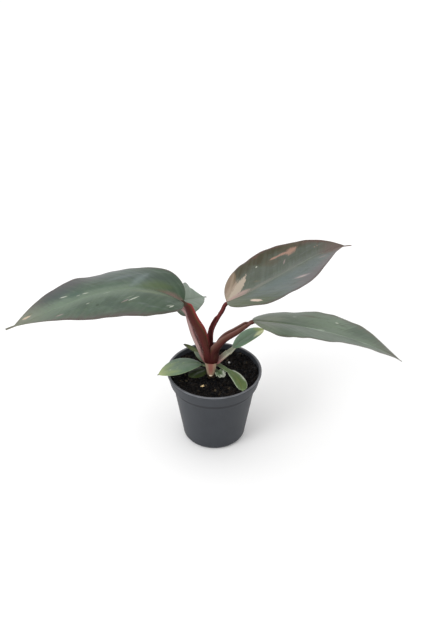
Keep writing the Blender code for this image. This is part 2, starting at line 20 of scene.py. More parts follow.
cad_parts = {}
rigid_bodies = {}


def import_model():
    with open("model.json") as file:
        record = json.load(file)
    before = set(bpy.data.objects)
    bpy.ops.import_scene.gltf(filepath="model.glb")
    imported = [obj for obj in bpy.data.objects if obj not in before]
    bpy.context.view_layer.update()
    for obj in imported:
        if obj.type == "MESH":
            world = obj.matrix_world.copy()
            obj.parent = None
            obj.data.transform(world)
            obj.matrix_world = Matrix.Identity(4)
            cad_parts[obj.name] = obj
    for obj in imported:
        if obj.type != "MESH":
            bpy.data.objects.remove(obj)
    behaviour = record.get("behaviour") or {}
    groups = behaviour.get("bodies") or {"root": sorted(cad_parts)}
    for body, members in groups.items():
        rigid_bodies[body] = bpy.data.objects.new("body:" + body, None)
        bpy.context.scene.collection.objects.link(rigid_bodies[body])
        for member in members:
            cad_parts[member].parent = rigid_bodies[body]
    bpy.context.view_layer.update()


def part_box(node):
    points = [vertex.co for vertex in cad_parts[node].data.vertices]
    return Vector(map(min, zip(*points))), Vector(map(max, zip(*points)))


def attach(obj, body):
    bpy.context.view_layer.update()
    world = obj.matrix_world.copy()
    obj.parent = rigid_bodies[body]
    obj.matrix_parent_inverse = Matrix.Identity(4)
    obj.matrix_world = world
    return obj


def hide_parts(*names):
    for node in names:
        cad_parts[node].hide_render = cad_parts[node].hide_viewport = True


bl_info = {
    "name": "Potted pink princess philodendron",
    "version": (1, 0, 0),
    "blender": (4, 5, 0),
    "location": "3D View > Sidebar > Philodendron",
    "description": "Builds the finished plant, its soil, its pot and a plain stage",
    "category": "Add Mesh",
}

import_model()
_, POT_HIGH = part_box("pot")

MM = 0.001


# Settings

def length(name, description, default):
    return FloatProperty(
        name=name, description=description, default=default, min=0.0, subtype="DISTANCE",
        unit="LENGTH", precision=5,
    )


def colour(name, description, default):
    return FloatVectorProperty(
        name=name, description=description, default=default, size=3, min=0.0, max=1.0,
        subtype="COLOR",
    )


def share(name, description, default):
    return FloatProperty(
        name=name, description=description, default=default, min=0.0, max=1.0, subtype="FACTOR",
    )


def number(name, description, default):
    return IntProperty(name=name, description=description, default=default, min=0)


class PotSettings(bpy.types.PropertyGroup):
    """Sizes and finish of the nursery pot."""

    rim_radius: length("Rim radius", "Radius of the rim's outer edge", POT_HIGH.x)
    height: length("Height", "From the table to the top of the rim", POT_HIGH.z)
    wall: length("Wall", "Thickness of the wall", 0.0009)
    collar_height: length("Collar height", "Depth of the wider collar under the rim", 0.0088)
    base_radius: length("Base radius", "Radius of the wall where the bottom corner starts", 0.0202)
    colour: colour("Colour", "Grey of the plastic", (0.0265, 0.03, 0.036))
    roughness: share("Roughness", "How dull the plastic is", 0.46)


class SoilSettings(bpy.types.PropertyGroup):
    """The peat, its crumbs, fibres and grains."""

    crumbs: number("Crumbs", "How many small crumbs lie on the soil", 5200)
    clods: number("Clods", "How many larger crumbs lie on the soil", 900)
    chips: number("Chips", "How many brown bits of bark lie on the soil", 170)
    fibres: number("Fibres", "How many peat fibres lie on the soil", 300)
    grains: number("Grains", "How many pale mineral grains show", 36)
    seed: number("Seed", "Seed of every scatter", 11)
    colour: colour("Peat", "Colour of moist peat", (0.0042, 0.0047, 0.006))
    crumb_colour: colour("Crumb", "Colour of the browner crumbs", (0.02, 0.014, 0.01))
    chip_colour: colour("Chip", "Colour of the bits of bark", (0.11, 0.088, 0.056))
    fibre_colour: colour("Fibre", "Colour of the peat fibres", (0.06, 0.04, 0.026))
    grain_colour: colour("Grain", "Colour of the mineral grains", (0.74, 0.74, 0.72))
    husk_colour: colour("Husk", "Colour of the husk on the soil", (0.86, 0.66, 0.36))


class LeafSettings(bpy.types.PropertyGroup):
    """What all the leaf blades share."""

    lamina: length("Thickness", "Thickness of a large blade", 0.00045)
    vein_spacing: length("Vein spacing", "Distance between side veins of a large blade", 0.0058)
    vein_depth: length("Vein depth", "Depth of the furrow over a side vein", 0.00007)
    gloss: share("Roughness", "How dull the upper face is", 0.36)
    olive: colour("Olive", "Streaks of the warmer green", (0.05, 0.066, 0.032))
    sheen: colour("Sheen", "Streaks of the paler, greyer green", (0.135, 0.16, 0.15))


class StalkSettings(bpy.types.PropertyGroup):
    """What the petioles and the stem share."""

    maroon: colour("Maroon", "Stem and crown", (0.036, 0.006, 0.0055))
    tan: colour("Tan", "Old petiole", (0.3, 0.185, 0.12))
    roughness: share("Roughness", "How dull the skin is", 0.5)


class StageSettings(bpy.types.PropertyGroup):
    """Camera, floor and light."""

    distance: length("Camera distance", "From the camera to the point it looks at", 0.5)
    elevation: FloatProperty(
        name="Camera elevation", description="Angle of the camera above level",
        default=math.radians(33.0), subtype="ANGLE", unit="ROTATION",
    )
    aim: FloatVectorProperty(
        name="Aim", description="The point that the camera looks at",
        default=(-0.00243, 0.0, 0.0904), size=3, subtype="XYZ", unit="LENGTH",
    )
    lens: FloatProperty(
        name="Lens", description="Focal length in millimetres", default=47.0, unit="CAMERA",
    )
    floor_colour: colour("Floor", "Colour of the floor", (0.93, 0.93, 0.93))
    sky: FloatProperty(
        name="Sky", description="Strength of the even light all round", default=1.1, min=0.0,
    )
    key: FloatProperty(
        name="Key", description="Power of the large light overhead", default=5.0, min=0.0,
        unit="POWER",
    )


# Node graphs

MIX_FIRST, MIX_SECOND, MIX_RESULT = 6, 7, 2  # the colour sockets of a Mix node


class Graph:
    """Short calls that add nodes to a tree and join them up."""

    def __init__(self, tree):
        self.tree = tree

    def add(self, kind, values=None, **settings):
        """Add a node with its settings, and with the values or links of its inputs."""
        node = self.tree.nodes.new(kind)
        for key, value in settings.items():
            setattr(node, key, value)
        for key, value in (values or {}).items():
            self.put(node.inputs[key], value)
        return node

    def put(self, socket, value):
        if isinstance(value, bpy.types.NodeSocket):
            self.tree.links.new(value, socket)
        else:
            if socket.type == "RGBA" and len(value) == 3:
                value = (*value, 1.0)
            socket.default_value = value

    def math(self, operation, *values):
        return self.add("ShaderNodeMath", dict(enumerate(values)), operation=operation).outputs[0]

    def times(self, first, second):
        return self.math("MULTIPLY", first, second)

    def plus(self, first, second):
        return self.math("ADD", first, second)

    def swing(self, noise, amount):
        """How far the noise is from its middle, times amount."""
        return self.times(self.math("SUBTRACT", noise, 0.5), amount)

    def vector_math(self, operation, *values):
        node = self.add("ShaderNodeVectorMath", dict(enumerate(values)), operation=operation)
        return node.outputs["Value" if operation == "DOT_PRODUCT" else "Vector"]

    def scaled(self, vector, size):
        values = {0: vector, "Scale": size}
        return self.add("ShaderNodeVectorMath", values, operation="SCALE").outputs[0]

    def ease(self, value, start, end, low=0.0, high=1.0):
        """Runs smoothly from low to high while value goes from start to end."""
        return self.add("ShaderNodeMapRange", {
            "Value": value, "From Min": start, "From Max": end, "To Min": low, "To Max": high,
        }, interpolation_type="SMOOTHSTEP").outputs["Result"]

    def mix(self, factor, first, second):
        values = {"Factor": factor, MIX_FIRST: first, MIX_SECOND: second}
        return self.add("ShaderNodeMix", values, data_type="RGBA").outputs[MIX_RESULT]

    def noise(self, place, scale, detail=3.0, roughness=0.55):
        return self.add("ShaderNodeTexNoise", {
            "Vector": place, "Scale": scale, "Detail": detail, "Roughness": roughness,
        }).outputs["Fac"]

    def attribute(self, name):
        """The three numbers of a vector attribute."""
        return self.split(self.add("ShaderNodeAttribute", attribute_name=name).outputs["Vector"])

    def split(self, vector):
        return tuple(self.add("ShaderNodeSeparateXYZ", {0: vector}).outputs)

    def join(self, x, y, z=0.0):
        return self.add("ShaderNodeCombineXYZ", {0: x, 1: y, 2: z}).outputs[0]

    def place(self):
        return self.add("ShaderNodeTexCoord").outputs["Object"]

    def ramp(self, value, stops):
        node = self.add("ShaderNodeValToRGB", {0: value})
        node.color_ramp.interpolation = "EASE"
        points = node.color_ramp.elements
        stops = list(stops)
        while len(points) < len(stops):
            points.new(0.5)
        for point, (position, shade) in zip(points, stops):
            point.position = position
            point.color = (*shade, 1.0)
        return node.outputs[0]

    def bump(self, height, strength, distance):
        values = {"Height": height, "Strength": strength, "Distance": distance}
        return self.add("ShaderNodeBump", values).outputs[0]


def new_material(name, build):
    """A material whose Principled shader takes the inputs that build returns."""
    material = bpy.data.materials.new(name)
    material.use_nodes = True
    graph = Graph(material.node_tree)
    shader = material.node_tree.nodes["Principled BSDF"]
    for socket, value in build(graph).items():
        graph.put(shader.inputs[socket], value)
    return material


# Pieces

def link(obj):
    """Put the object in the scene, unless it is there already."""
    objects = bpy.context.scene.collection.objects
    if obj.name not in objects:
        objects.link(obj)


def add_piece(obj, slot, *nodes):
    """Put a finished piece in the scene, on the part's one body, for the CAD nodes it replaces."""
    link(obj)
    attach(obj, "root")
    if nodes:
        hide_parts(*nodes)


def add_mesh(name, mesh, material, slot, *nodes):
    """Put a mesh of one material in the scene as a finished piece."""
    mesh.materials.append(material)
    add_piece(bpy.data.objects.new(name, mesh), slot, *nodes)


def tinted(shade, factor):
    """The same colour, lighter or darker."""
    return [c * factor for c in shade]


def face_out(mesh):
    """Turn all its faces outwards."""
    bm = bmesh.new()
    bm.from_mesh(mesh)
    bmesh.ops.recalc_face_normals(bm, faces=bm.faces[:])
    bm.to_mesh(mesh)
    bm.free()


def smooth(mesh, angle=50.0):
    """Smooth the mesh's shading, but for creases sharper than the angle."""
    mesh.shade_smooth()
    mesh.set_sharp_from_angle(angle=math.radians(angle))


def baked(obj):
    """The object with the mesh that its modifiers make, and without them."""
    link(obj)
    depsgraph = bpy.context.evaluated_depsgraph_get()
    mesh = bpy.data.meshes.new_from_object(obj.evaluated_get(depsgraph))
    obj.modifiers.clear()
    old = obj.data
    obj.data = mesh
    bpy.data.meshes.remove(old)
    mesh.name = obj.name
    return obj


def ring_mesh(name, rings, **attributes):
    """A closed body through rings of points, in millimetres, with its ends filled. Each
    attribute holds a vector for each point."""
    rows, count = rings.shape[:2]
    index = np.arange(rows * count).reshape(rows, count)
    after = np.roll(index, -1, axis=1)
    quads = np.stack([index[:-1], after[:-1], after[1:], index[1:]], -1).reshape(-1, 4)
    mesh = bpy.data.meshes.new(name)
    mesh.from_pydata(
        (rings.reshape(-1, 3) * MM).tolist(), [],
        quads.tolist() + [index[0][::-1].tolist(), index[-1].tolist()],
    )
    for key, values in attributes.items():
        layer = mesh.attributes.new(key, "FLOAT_VECTOR", "POINT")
        layer.data.foreach_set("vector", np.ascontiguousarray(values, dtype=float).ravel())
    face_out(mesh)
    smooth(mesh)
    return mesh


def ease(start, end, t):
    """0 up to the start and 1 past the end, with a smooth rise between them."""
    x = np.clip((t - start) / (end - start), 0.0, 1.0)
    return x * x * (3.0 - 2.0 * x)


def bend(values, t):
    """The curve through a value at 0, one at a half and one at 1."""
    start, middle, end = values
    return start * (1 - t) * (1 - 2 * t) + middle * 4 * t * (1 - t) + end * t * (2 * t - 1)


# Turned pieces

def rounded(corners, steps=4):
    """A profile of (radius, height, rounding), with an arc in place of each rounded corner."""
    points = []
    for i, (r, z, size) in enumerate(corners):
        here = Vector((r, z))
        if not size:
            points.append(here)
            continue
        before = Vector(corners[i - 1][:2]) - here
        after = Vector(corners[i + 1][:2]) - here
        start = here + before.normalized() * min(size, before.length * 0.48)
        end = here + after.normalized() * min(size, after.length * 0.48)
        for k in range(steps + 1):
            t = k / steps
            points.append(start * (1 - t) ** 2 + here * 2 * t * (1 - t) + end * t ** 2)
    return points


def turned(name, profile, segments):
    """Turn a profile round the vertical line through the origin."""
    mesh = bpy.data.meshes.new(name)
    mesh.from_pydata(
        [(p.x, 0.0, p.y) for p in profile], [(i, i + 1) for i in range(len(profile) - 1)], [],
    )
    obj = bpy.data.objects.new(name, mesh)
    screw = obj.modifiers.new("turn", "SCREW")
    screw.steps = segments
    screw.render_steps = segments
    screw.use_merge_vertices = True
    screw.merge_threshold = 0.000001
    return obj


# Pot

POT_SEGMENTS = 160
SHOULDER_HEIGHT = 0.0018
SHOULDER_RADIUS = 0.0261
COLLAR_FOOT_RADIUS = 0.02805
RIM_LIP_STEP = 0.0005
RIM_LIP_HEIGHT = 0.0012
BASE_CORNER = 0.003
CORNER_STEPS = 10
FLOOR_TOP = 0.0018
FLOOR_RECESS = 0.0008
CORNER_INSETS = (0.0026, 0.0022)  # of the inner wall at the table and at the floor's top
HUB_RADIUS = 0.006
RING_RADIUS = 0.0132
DRAIN_COUNT = 6
DRAIN_RADIUS = 0.0023
DRAIN_CIRCLE = 0.0096
DRAIN_SEGMENTS = 40
POT_SHARP_ANGLE = 32.0


def inside_radius(pot, z):
    """Radius of the pot's inner wall at a height."""
    foot = pot.height - pot.collar_height
    heights = [0.0, FLOOR_TOP, BASE_CORNER, foot - SHOULDER_HEIGHT, foot, pot.height]
    radii = [
        *(pot.base_radius - inset for inset in CORNER_INSETS), pot.base_radius,
        SHOULDER_RADIUS, COLLAR_FOOT_RADIUS, pot.rim_radius - RIM_LIP_STEP,
    ]
    return float(np.interp(z, heights, radii)) - pot.wall


def pot_profile(pot):
    """Half of the pot's section, from the middle of its floor up, over the rim and down."""
    foot = pot.height - pot.collar_height
    rim = pot.rim_radius
    lip = pot.height - RIM_LIP_HEIGHT
    inner = [
        (0.0, FLOOR_TOP, 0.0),
        (inside_radius(pot, FLOOR_TOP), FLOOR_TOP, 0.0012),
        (inside_radius(pot, BASE_CORNER), BASE_CORNER, 0.0008),
        (inside_radius(pot, foot - SHOULDER_HEIGHT), foot - SHOULDER_HEIGHT, 0.0006),
        (inside_radius(pot, foot), foot, 0.0006),
        (inside_radius(pot, pot.height), pot.height, 0.0003),
    ]
    outer = [
        (rim, pot.height, 0.00035),
        (rim, lip, 0.0002),
        (rim - RIM_LIP_STEP, lip - 0.0004, 0.0002),
        (COLLAR_FOOT_RADIUS, foot, 0.0016),
        (SHOULDER_RADIUS, foot - SHOULDER_HEIGHT, 0.0024),
        (pot.base_radius, BASE_CORNER, 0.0),
    ]
    corner = [
        (pot.base_radius - BASE_CORNER * (1.0 - math.cos(a)), BASE_CORNER * (1.0 - math.sin(a)), 0)
        for a in (math.pi / 2 * k / CORNER_STEPS for k in range(1, CORNER_STEPS + 1))
    ]
    underside = [
        (RING_RADIUS, 0.0, 0.0002),
        (RING_RADIUS - FLOOR_RECESS, FLOOR_RECESS, 0.0003),
        (HUB_RADIUS + FLOOR_RECESS, FLOOR_RECESS, 0.0003),
        (HUB_RADIUS, 0.0, 0.0002),
        (0.0, 0.0, 0.0),
    ]
    return rounded(inner + outer + corner + underside)


PEAT_DUST = (0.024, 0.018, 0.014)
RIM_HIGHLIGHT_GREY = (0.14, 0.145, 0.158)  # painted highlight along the top edge of the rim
STEP_PAINTED_LIGHT = (0.046, 0.047, 0.05)  # painted light: a lighter grey on the step under the collar, against the shade that falls there


def pot_material(pot):
    """Moulded grey plastic, faintly clouded, finely grained, scuffed and dusted with peat; painted
    highlight on the rim's top edge, painted light under the collar.
    """
    def build(g):
        place = g.place()
        x, y, z = g.split(place)
        clouds = g.noise(place, 90.0, 3.0)
        flow = g.noise(g.join(x, y, g.times(z, 0.25)), 700.0, 2.0)
        body = g.mix(g.ease(clouds, 0.3, 0.7), tinted(pot.colour, 0.93), tinted(pot.colour, 1.08))
        body = g.mix(g.ease(flow, 0.45, 0.75, 0.0, 0.35), body, tinted(pot.colour, 1.22))
        scuffs = g.noise(g.join(x, y, g.times(z, 6.0)), 420.0, 5.0, 0.7)
        scuffs = g.ease(scuffs, 0.66, 0.74)
        body = g.mix(g.times(scuffs, 0.35), body, tinted(pot.colour, 2.0))
        dust = g.noise(place, 1500.0, 4.0, 0.75)
        low = g.ease(z, 0.002, 0.016, 1.0, 0.2)
        dust = g.times(g.ease(dust, 0.66, 0.72), low)
        body = g.mix(g.times(dust, 0.5), body, PEAT_DUST)
        # Painted highlight: the top edge of the rim is made a lighter grey, unevenly, where light
        # falls on it.
        rim_highlight = g.plus(z, g.times(clouds, 0.0004))
        rim_highlight = g.ease(rim_highlight, pot.height - 0.00025, pot.height - 0.00005)
        rim_highlight = g.times(rim_highlight, g.ease(clouds, 0.25, 0.6, 0.55, 1.0))
        body = g.mix(rim_highlight, body, RIM_HIGHLIGHT_GREY)
        # Painted light: the step under the collar is made a lighter, duller grey, against the shade
        # that falls there.
        foot = pot.height - pot.collar_height
        step = g.times(g.ease(z, foot - 0.0032, foot - 0.0014), g.ease(z, foot + 0.0012, foot))
        body = g.mix(g.times(step, 0.8), body, STEP_PAINTED_LIGHT)
        grain = g.noise(place, 5200.0, 2.0)
        rough = g.plus(g.times(scuffs, 0.12), pot.roughness)
        rough = g.plus(g.times(clouds, 0.08), rough)
        return {
            "Base Color": body,
            "Roughness": g.plus(rough, g.times(step, 0.3)),
            "Specular IOR Level": g.ease(step, 0.0, 0.8, 0.3, 0.04),
            "Normal": g.bump(grain, 0.25, 0.00006),
        }
    return new_material("grey_moulded_plastic", build)


def drain_cutter(k):
    """A short pin through the floor, where the k-th drain hole is."""
    bm = bmesh.new()
    bmesh.ops.create_cone(
        bm, cap_ends=True, segments=DRAIN_SEGMENTS, radius1=DRAIN_RADIUS, radius2=DRAIN_RADIUS,
        depth=4 * FLOOR_TOP,
    )
    turn = 2 * math.pi * (k + 0.5) / DRAIN_COUNT
    where = (math.cos(turn) * DRAIN_CIRCLE, math.sin(turn) * DRAIN_CIRCLE, FLOOR_TOP / 2)
    bmesh.ops.translate(bm, verts=bm.verts[:], vec=where)
    mesh = bpy.data.meshes.new("drain")
    bm.to_mesh(mesh)
    bm.free()
    drain = bpy.data.objects.new("drain", mesh)
    link(drain)
    return drain


class PHILO_OT_pot(bpy.types.Operator):
    """Make the nursery pot with its rim, collar, standing ring and drain holes"""

    bl_idname = "philodendron.pot"
    bl_label = "Pot"

    def execute(self, context):
        pot = context.scene.philodendron_pot
        obj = turned("nursery_pot", pot_profile(pot), POT_SEGMENTS)
        link(obj)
        drains = [drain_cutter(k) for k in range(DRAIN_COUNT)]
        for drain in drains:
            cut = obj.modifiers.new("drain", "BOOLEAN")
            cut.operation = "DIFFERENCE"
            cut.solver = "EXACT"
            cut.object = drain
        baked(obj)
        for drain in drains:
            bpy.data.objects.remove(drain, do_unlink=True)
        face_out(obj.data)
        smooth(obj.data, POT_SHARP_ANGLE)
        obj.data.materials.clear()
        obj.data.materials.append(pot_material(pot))
        add_piece(obj, "pot_plastic", "pot")
        return {"FINISHED"}


# Soil

SOIL_LEVEL = 45.3
LUMP_HEIGHT = 0.9
LUMP_SIZE = 6.0
CRUMB_HEIGHT = 0.5
CRUMB_SIZE = 2.6
GRIT_HEIGHT = 0.75
GRIT_SIZE = 1.25
BANK_HEIGHT = 2.0  # of the soil against the wall
BANK_FROM = 0.7  # share of the radius where it begins
HOLLOW_AT = 90.0  # where the bank is lowest, from +X towards +Y
HOLLOW_SPREAD = 28.0
HOLLOW_DEPTH = 0.8
SOIL_EDGE = 27.3
SOIL_RINGS = 84
SOIL_SEGMENTS = 260
EDGE_SUNK = 0.15  # of the soil's rim in the wall
SIDE_GAP = 0.02
SIDE_HEIGHTS = (45.0, 44.0, 41.0, 39.2, 25.0, 12.0, 4.8, 2.1)
STEM_X = -2.2
STEM_Y = -1.5


def ground(x, y, grit=1.0):
    """Height of the soil at a place, all in millimetres, with the broad lumps of the CAD."""
    broad = noise.noise(Vector((x / LUMP_SIZE, y / LUMP_SIZE, 2.3)))
    fine = noise.noise(Vector((x / CRUMB_SIZE, y / CRUMB_SIZE, 7.9)))
    rough = noise.turbulence(Vector((x / GRIT_SIZE, y / GRIT_SIZE, 4.1)), 3, False)
    turn = math.degrees(math.atan2(y, x)) - HOLLOW_AT
    low = HOLLOW_DEPTH * math.exp(-(turn / HOLLOW_SPREAD) ** 2)
    bank = BANK_HEIGHT * (1.0 - low) * float(ease(BANK_FROM, 1.0, math.hypot(x, y) / SOIL_EDGE))
    height = LUMP_HEIGHT * broad + CRUMB_HEIGHT * fine + grit * GRIT_HEIGHT * (rough - 0.5)
    return SOIL_LEVEL + height + bank


def soil_mesh(pot):
    """A plug of peat, rough on top, that meets the pot's wall all round."""
    edge = inside_radius(pot, (SOIL_LEVEL + BANK_HEIGHT) * MM) / MM + EDGE_SUNK
    sides = [(inside_radius(pot, z * MM) / MM - SIDE_GAP, z) for z in SIDE_HEIGHTS]
    turns = np.linspace(0.0, 2 * np.pi, SOIL_SEGMENTS, endpoint=False)
    rings = []
    for k in range(1, SOIL_RINGS + 1):
        radius = edge * k / SOIL_RINGS
        ring = [(radius * math.cos(a), radius * math.sin(a)) for a in turns]
        rings.append([(x, y, ground(x, y)) for x, y in ring])
    for radius, z in sides:
        rings.append([(radius * math.cos(a), radius * math.sin(a), z) for a in turns])
    return ring_mesh("potting_soil", np.array(rings))


def soil_material(soil):
    """Moist peat: nearly black, with browner and greyer crumbs and a damp glint here and there."""
    def build(g):
        place = g.place()
        patches = g.noise(place, 170.0, 3.0)
        crumbs = g.noise(place, 1100.0, 5.0, 0.7)
        body = g.mix(g.ease(patches, 0.4, 0.68, 0.0, 0.6), soil.colour,
                     [0.6 * a + 0.4 * b for a, b in zip(soil.colour, soil.crumb_colour)])
        body = g.mix(g.ease(crumbs, 0.56, 0.72, 0.0, 0.8), body, soil.crumb_colour)
        body = g.mix(g.ease(crumbs, 0.25, 0.42, 0.55, 0.0), body, (0.003, 0.003, 0.003))
        damp = g.ease(g.noise(place, 420.0, 2.0), 0.45, 0.62)
        return {
            "Base Color": body,
            "Roughness": g.ease(damp, 0.0, 1.0, 0.92, 0.62),
            "Specular IOR Level": g.ease(damp, 0.0, 1.0, 0.08, 0.35),
            "Normal": g.bump(crumbs, 0.8, 0.0005),
        }
    return new_material("moist_peat", build)


def crumb_material(name, dark, light, rough=0.85):
    """Scattered bits, each with a shade of its own from the scatter."""
    def build(g):
        shades = g.add("ShaderNodeAttribute", attribute_name="shade").outputs["Fac"]
        fine = g.noise(g.place(), 2600.0, 3.0, 0.7)
        body = g.mix(g.ease(shades, 0.25, 1.0), dark, light)
        body = g.mix(g.ease(fine, 0.35, 0.65, 0.45, 0.0), body, tinted(dark, 0.35))
        return {
            "Base Color": body,
            "Roughness": g.ease(shades, 0.0, 1.0, rough, rough - 0.22),
            "Specular IOR Level": 0.12,
            "Normal": g.bump(fine, 0.5, 0.00012),
        }
    return new_material(name, build)


SHADE_DRAW = 91  # the number of the draw that gives each bit its shade
FULL_TURN = 6.28  # near enough for bits that lie anyhow


class Scatter:
    """A geometry tree that scatters bits over a surface and joins them into one mesh."""

    def __init__(self, name):
        self.tree = bpy.data.node_groups.new(name, "GeometryNodeTree")
        self.graph = Graph(self.tree)
        self.sockets = []
        for side in ("INPUT", "OUTPUT"):
            self.tree.interface.new_socket(
                "Geometry", in_out=side, socket_type="NodeSocketGeometry",
            )
        self.start = self.graph.add("NodeGroupInput")

    def want(self, name, kind, value):
        """Add a named input to the tree, and return its socket inside."""
        item = self.tree.interface.new_socket(name, in_out="INPUT", socket_type=kind)
        self.sockets.append((item.identifier, value))
        return self.start.outputs[name]

    def random(self, kind, low, high, seed, draw):
        """Random values between two bounds. Each draw of a scatter has its own number."""
        lowest, highest, result = {"FLOAT": (2, 3, 1), "FLOAT_VECTOR": (0, 1, 0)}[kind]
        values = {lowest: low, highest: high, "Seed": self.graph.plus(seed, draw)}
        return self.graph.add("FunctionNodeRandomValue", values, data_type=kind).outputs[result]

    def points(self, density, seed):
        values = {"Mesh": self.start.outputs["Geometry"], "Density": density, "Seed": seed}
        return self.graph.add("GeometryNodeDistributePointsOnFaces", values).outputs["Points"]

    def place(self, points, bit, turn, size):
        """Put the bit on each point, with a random shade kept on it, as real mesh."""
        g = self.graph
        placed = g.add("GeometryNodeInstanceOnPoints", {
            "Points": points, "Instance": bit, "Rotation": turn, "Scale": size,
        })
        shade = self.random("FLOAT", 0.0, 1.0, self.start.outputs["Seed"], SHADE_DRAW)
        shaded = g.add("GeometryNodeStoreNamedAttribute", {
            "Geometry": placed.outputs[0], "Name": "shade", "Value": shade,
        }, data_type="FLOAT", domain="INSTANCE")
        return g.add("GeometryNodeRealizeInstances", {0: shaded.outputs[0]}).outputs[0]

    def shift(self, geometry, offset):
        values = {"Geometry": geometry, "Offset": offset}
        return self.graph.add("GeometryNodeSetPosition", values).outputs[0]

    def wobble(self, scale, amount):
        """A vector that changes smoothly from place to place, round nought."""
        g = self.graph
        place = g.add("GeometryNodeInputPosition").outputs[0]
        node = g.add("ShaderNodeTexNoise", {"Vector": place, "Scale": scale, "Detail": 1.0})
        centred = g.vector_math("SUBTRACT", node.outputs["Color"], (0.5, 0.5, 0.5))
        return g.scaled(centred, amount)

    def finish(self, geometry):
        values = {"Geometry": geometry, "Material": self.start.outputs["Material"]}
        done = self.graph.add("GeometryNodeSetMaterial", values)
        self.graph.add("NodeGroupOutput", {0: done.outputs[0]})

    def apply(self, name, bed):
        """Run the tree over a copy of the bed, and return the bits as a finished object."""
        obj = bpy.data.objects.new(name, bed.copy())
        modifier = obj.modifiers.new("scatter", "NODES")
        modifier.node_group = self.tree
        for identifier, value in self.sockets:
            modifier[identifier] = value
        baked(obj)
        face_out(obj.data)
        return obj


def crumb_scatter(name, density, small, large, seed, material, detail, sink):
    """Rough lumps of many sizes, turned every way and sunk a little into the ground."""
    s = Scatter(name)
    g = s.graph
    dense = s.want("Density", "NodeSocketFloat", density)
    low = s.want("Smallest", "NodeSocketFloat", small)
    high = s.want("Largest", "NodeSocketFloat", large)
    start = s.want("Seed", "NodeSocketInt", seed)
    s.want("Material", "NodeSocketMaterial", material)
    points = s.points(dense, start)
    points = s.shift(points, g.join(0.0, 0.0, -sink))
    bit = g.add("GeometryNodeMeshIcoSphere", {"Radius": 1.0, "Subdivisions": detail})
    turn = s.random("FLOAT_VECTOR", (0.0, 0.0, 0.0), (FULL_TURN,) * 3, start, 1)
    bias = g.math("POWER", s.random("FLOAT", 0.0, 1.0, start, 2), 2.2)
    size = g.plus(low, g.times(bias, g.math("SUBTRACT", high, low)))
    squash = s.random("FLOAT_VECTOR", (0.55, 0.55, 0.45), (1.25, 1.0, 0.9), start, 3)
    lumps = s.place(points, bit.outputs[0], turn, g.scaled(squash, size))
    lumps = s.shift(lumps, s.wobble(0.9 / small, g.times(low, 1.1)))
    s.finish(lumps)
    return s


FIBRE_LENGTHS = (0.0012, 0.0058)
FIBRE_RADIUS = 0.000055
FIBRE_RISE = 0.00015  # of a fibre's middle above the ground
FIBRE_POINTS = 9
FIBRE_SIDES = 4


def fibre_scatter(name, density, short, long, thick, seed, material):
    """Thin curved fibres that lie on the ground at a slant."""
    s = Scatter(name)
    g = s.graph
    dense = s.want("Density", "NodeSocketFloat", density)
    low = s.want("Shortest", "NodeSocketFloat", short)
    high = s.want("Longest", "NodeSocketFloat", long)
    width = s.want("Thickness", "NodeSocketFloat", thick)
    start = s.want("Seed", "NodeSocketInt", seed)
    s.want("Material", "NodeSocketMaterial", material)
    points = s.points(dense, start)
    points = s.shift(points, g.join(0.0, 0.0, FIBRE_RISE))
    ends = {"Start": (-0.5, 0.0, 0.0), "End": (0.5, 0.0, 0.0)}
    line = g.add("GeometryNodeCurvePrimitiveLine", ends)
    cut = g.add("GeometryNodeResampleCurve", {"Curve": line.outputs[0], "Count": FIBRE_POINTS})
    turn = s.random("FLOAT_VECTOR", (-0.3, -0.3, 0.0), (0.3, 0.3, FULL_TURN), start, 5)
    size = s.random("FLOAT", low, high, start, 6)
    lines = s.place(points, cut.outputs[0], turn, g.join(size, size, size))
    lines = s.shift(lines, s.wobble(520.0, 0.0022))
    ring = g.add("GeometryNodeCurvePrimitiveCircle", {"Resolution": FIBRE_SIDES, "Radius": width})
    tube = g.add("GeometryNodeCurveToMesh", {
        "Curve": lines, "Profile Curve": ring.outputs[0], "Fill Caps": True,
    })
    s.finish(tube.outputs[0])
    return s


BED_RADIUS = 27.2
BED_HOLE = 3.0  # round the stem
BED_RINGS = 30
BED_SEGMENTS = 90
BED_GRIT = 0.6  # how much of the soil's finest roughness it follows


def bed_mesh():
    """The open patch of ground that bits are scattered over, clear of the stem."""
    points, faces = [], []
    for k in range(BED_RINGS + 1):
        for i in range(BED_SEGMENTS):
            a = 2 * math.pi * i / BED_SEGMENTS
            far = Vector((BED_RADIUS * math.cos(a), BED_RADIUS * math.sin(a)))
            near = Vector((STEM_X, STEM_Y)) + Vector((math.cos(a), math.sin(a))) * BED_HOLE
            spot = near.lerp(far, k / BED_RINGS)
            height = ground(spot.x, spot.y, BED_GRIT)
            points.append((spot.x * MM, spot.y * MM, height * MM))
            if k < BED_RINGS:
                here, there = k * BED_SEGMENTS, (k + 1) * BED_SEGMENTS
                j = (i + 1) % BED_SEGMENTS
                faces.append((here + i, there + i, there + j, here + j))
    mesh = bpy.data.meshes.new("bed")
    mesh.from_pydata(points, [], faces)
    return mesh


GRAIN_SPOT = (9.6, 12.9)
GRAIN_SIZES = (0.85, 0.7, 0.62)
GRAIN_RISE = 0.5  # of its middle above the soil
GRAIN_ROUGHNESS = 0.25
GRAIN_SEED = 3.0


def grain_mesh():
    """One rough grain, from a sphere pushed in and out by noise."""
    bm = bmesh.new()
    bmesh.ops.create_icosphere(bm, subdivisions=4, radius=1.0)
    centre = Vector((*GRAIN_SPOT, ground(*GRAIN_SPOT) + GRAIN_RISE))
    start = Vector((GRAIN_SEED, 0.0, 0.0))
    for vertex in bm.verts:
        swell = 1.0 + GRAIN_ROUGHNESS * noise.fractal(vertex.co * 1.7 + start, 1.0, 2.0, 3)
        spot = Vector([vertex.co[i] * swell * GRAIN_SIZES[i] for i in range(3)])
        vertex.co = (spot + centre) * MM
    mesh = bpy.data.meshes.new("white_grain")
    bm.to_mesh(mesh)
    bm.free()
    smooth(mesh, 60.0)
    return mesh


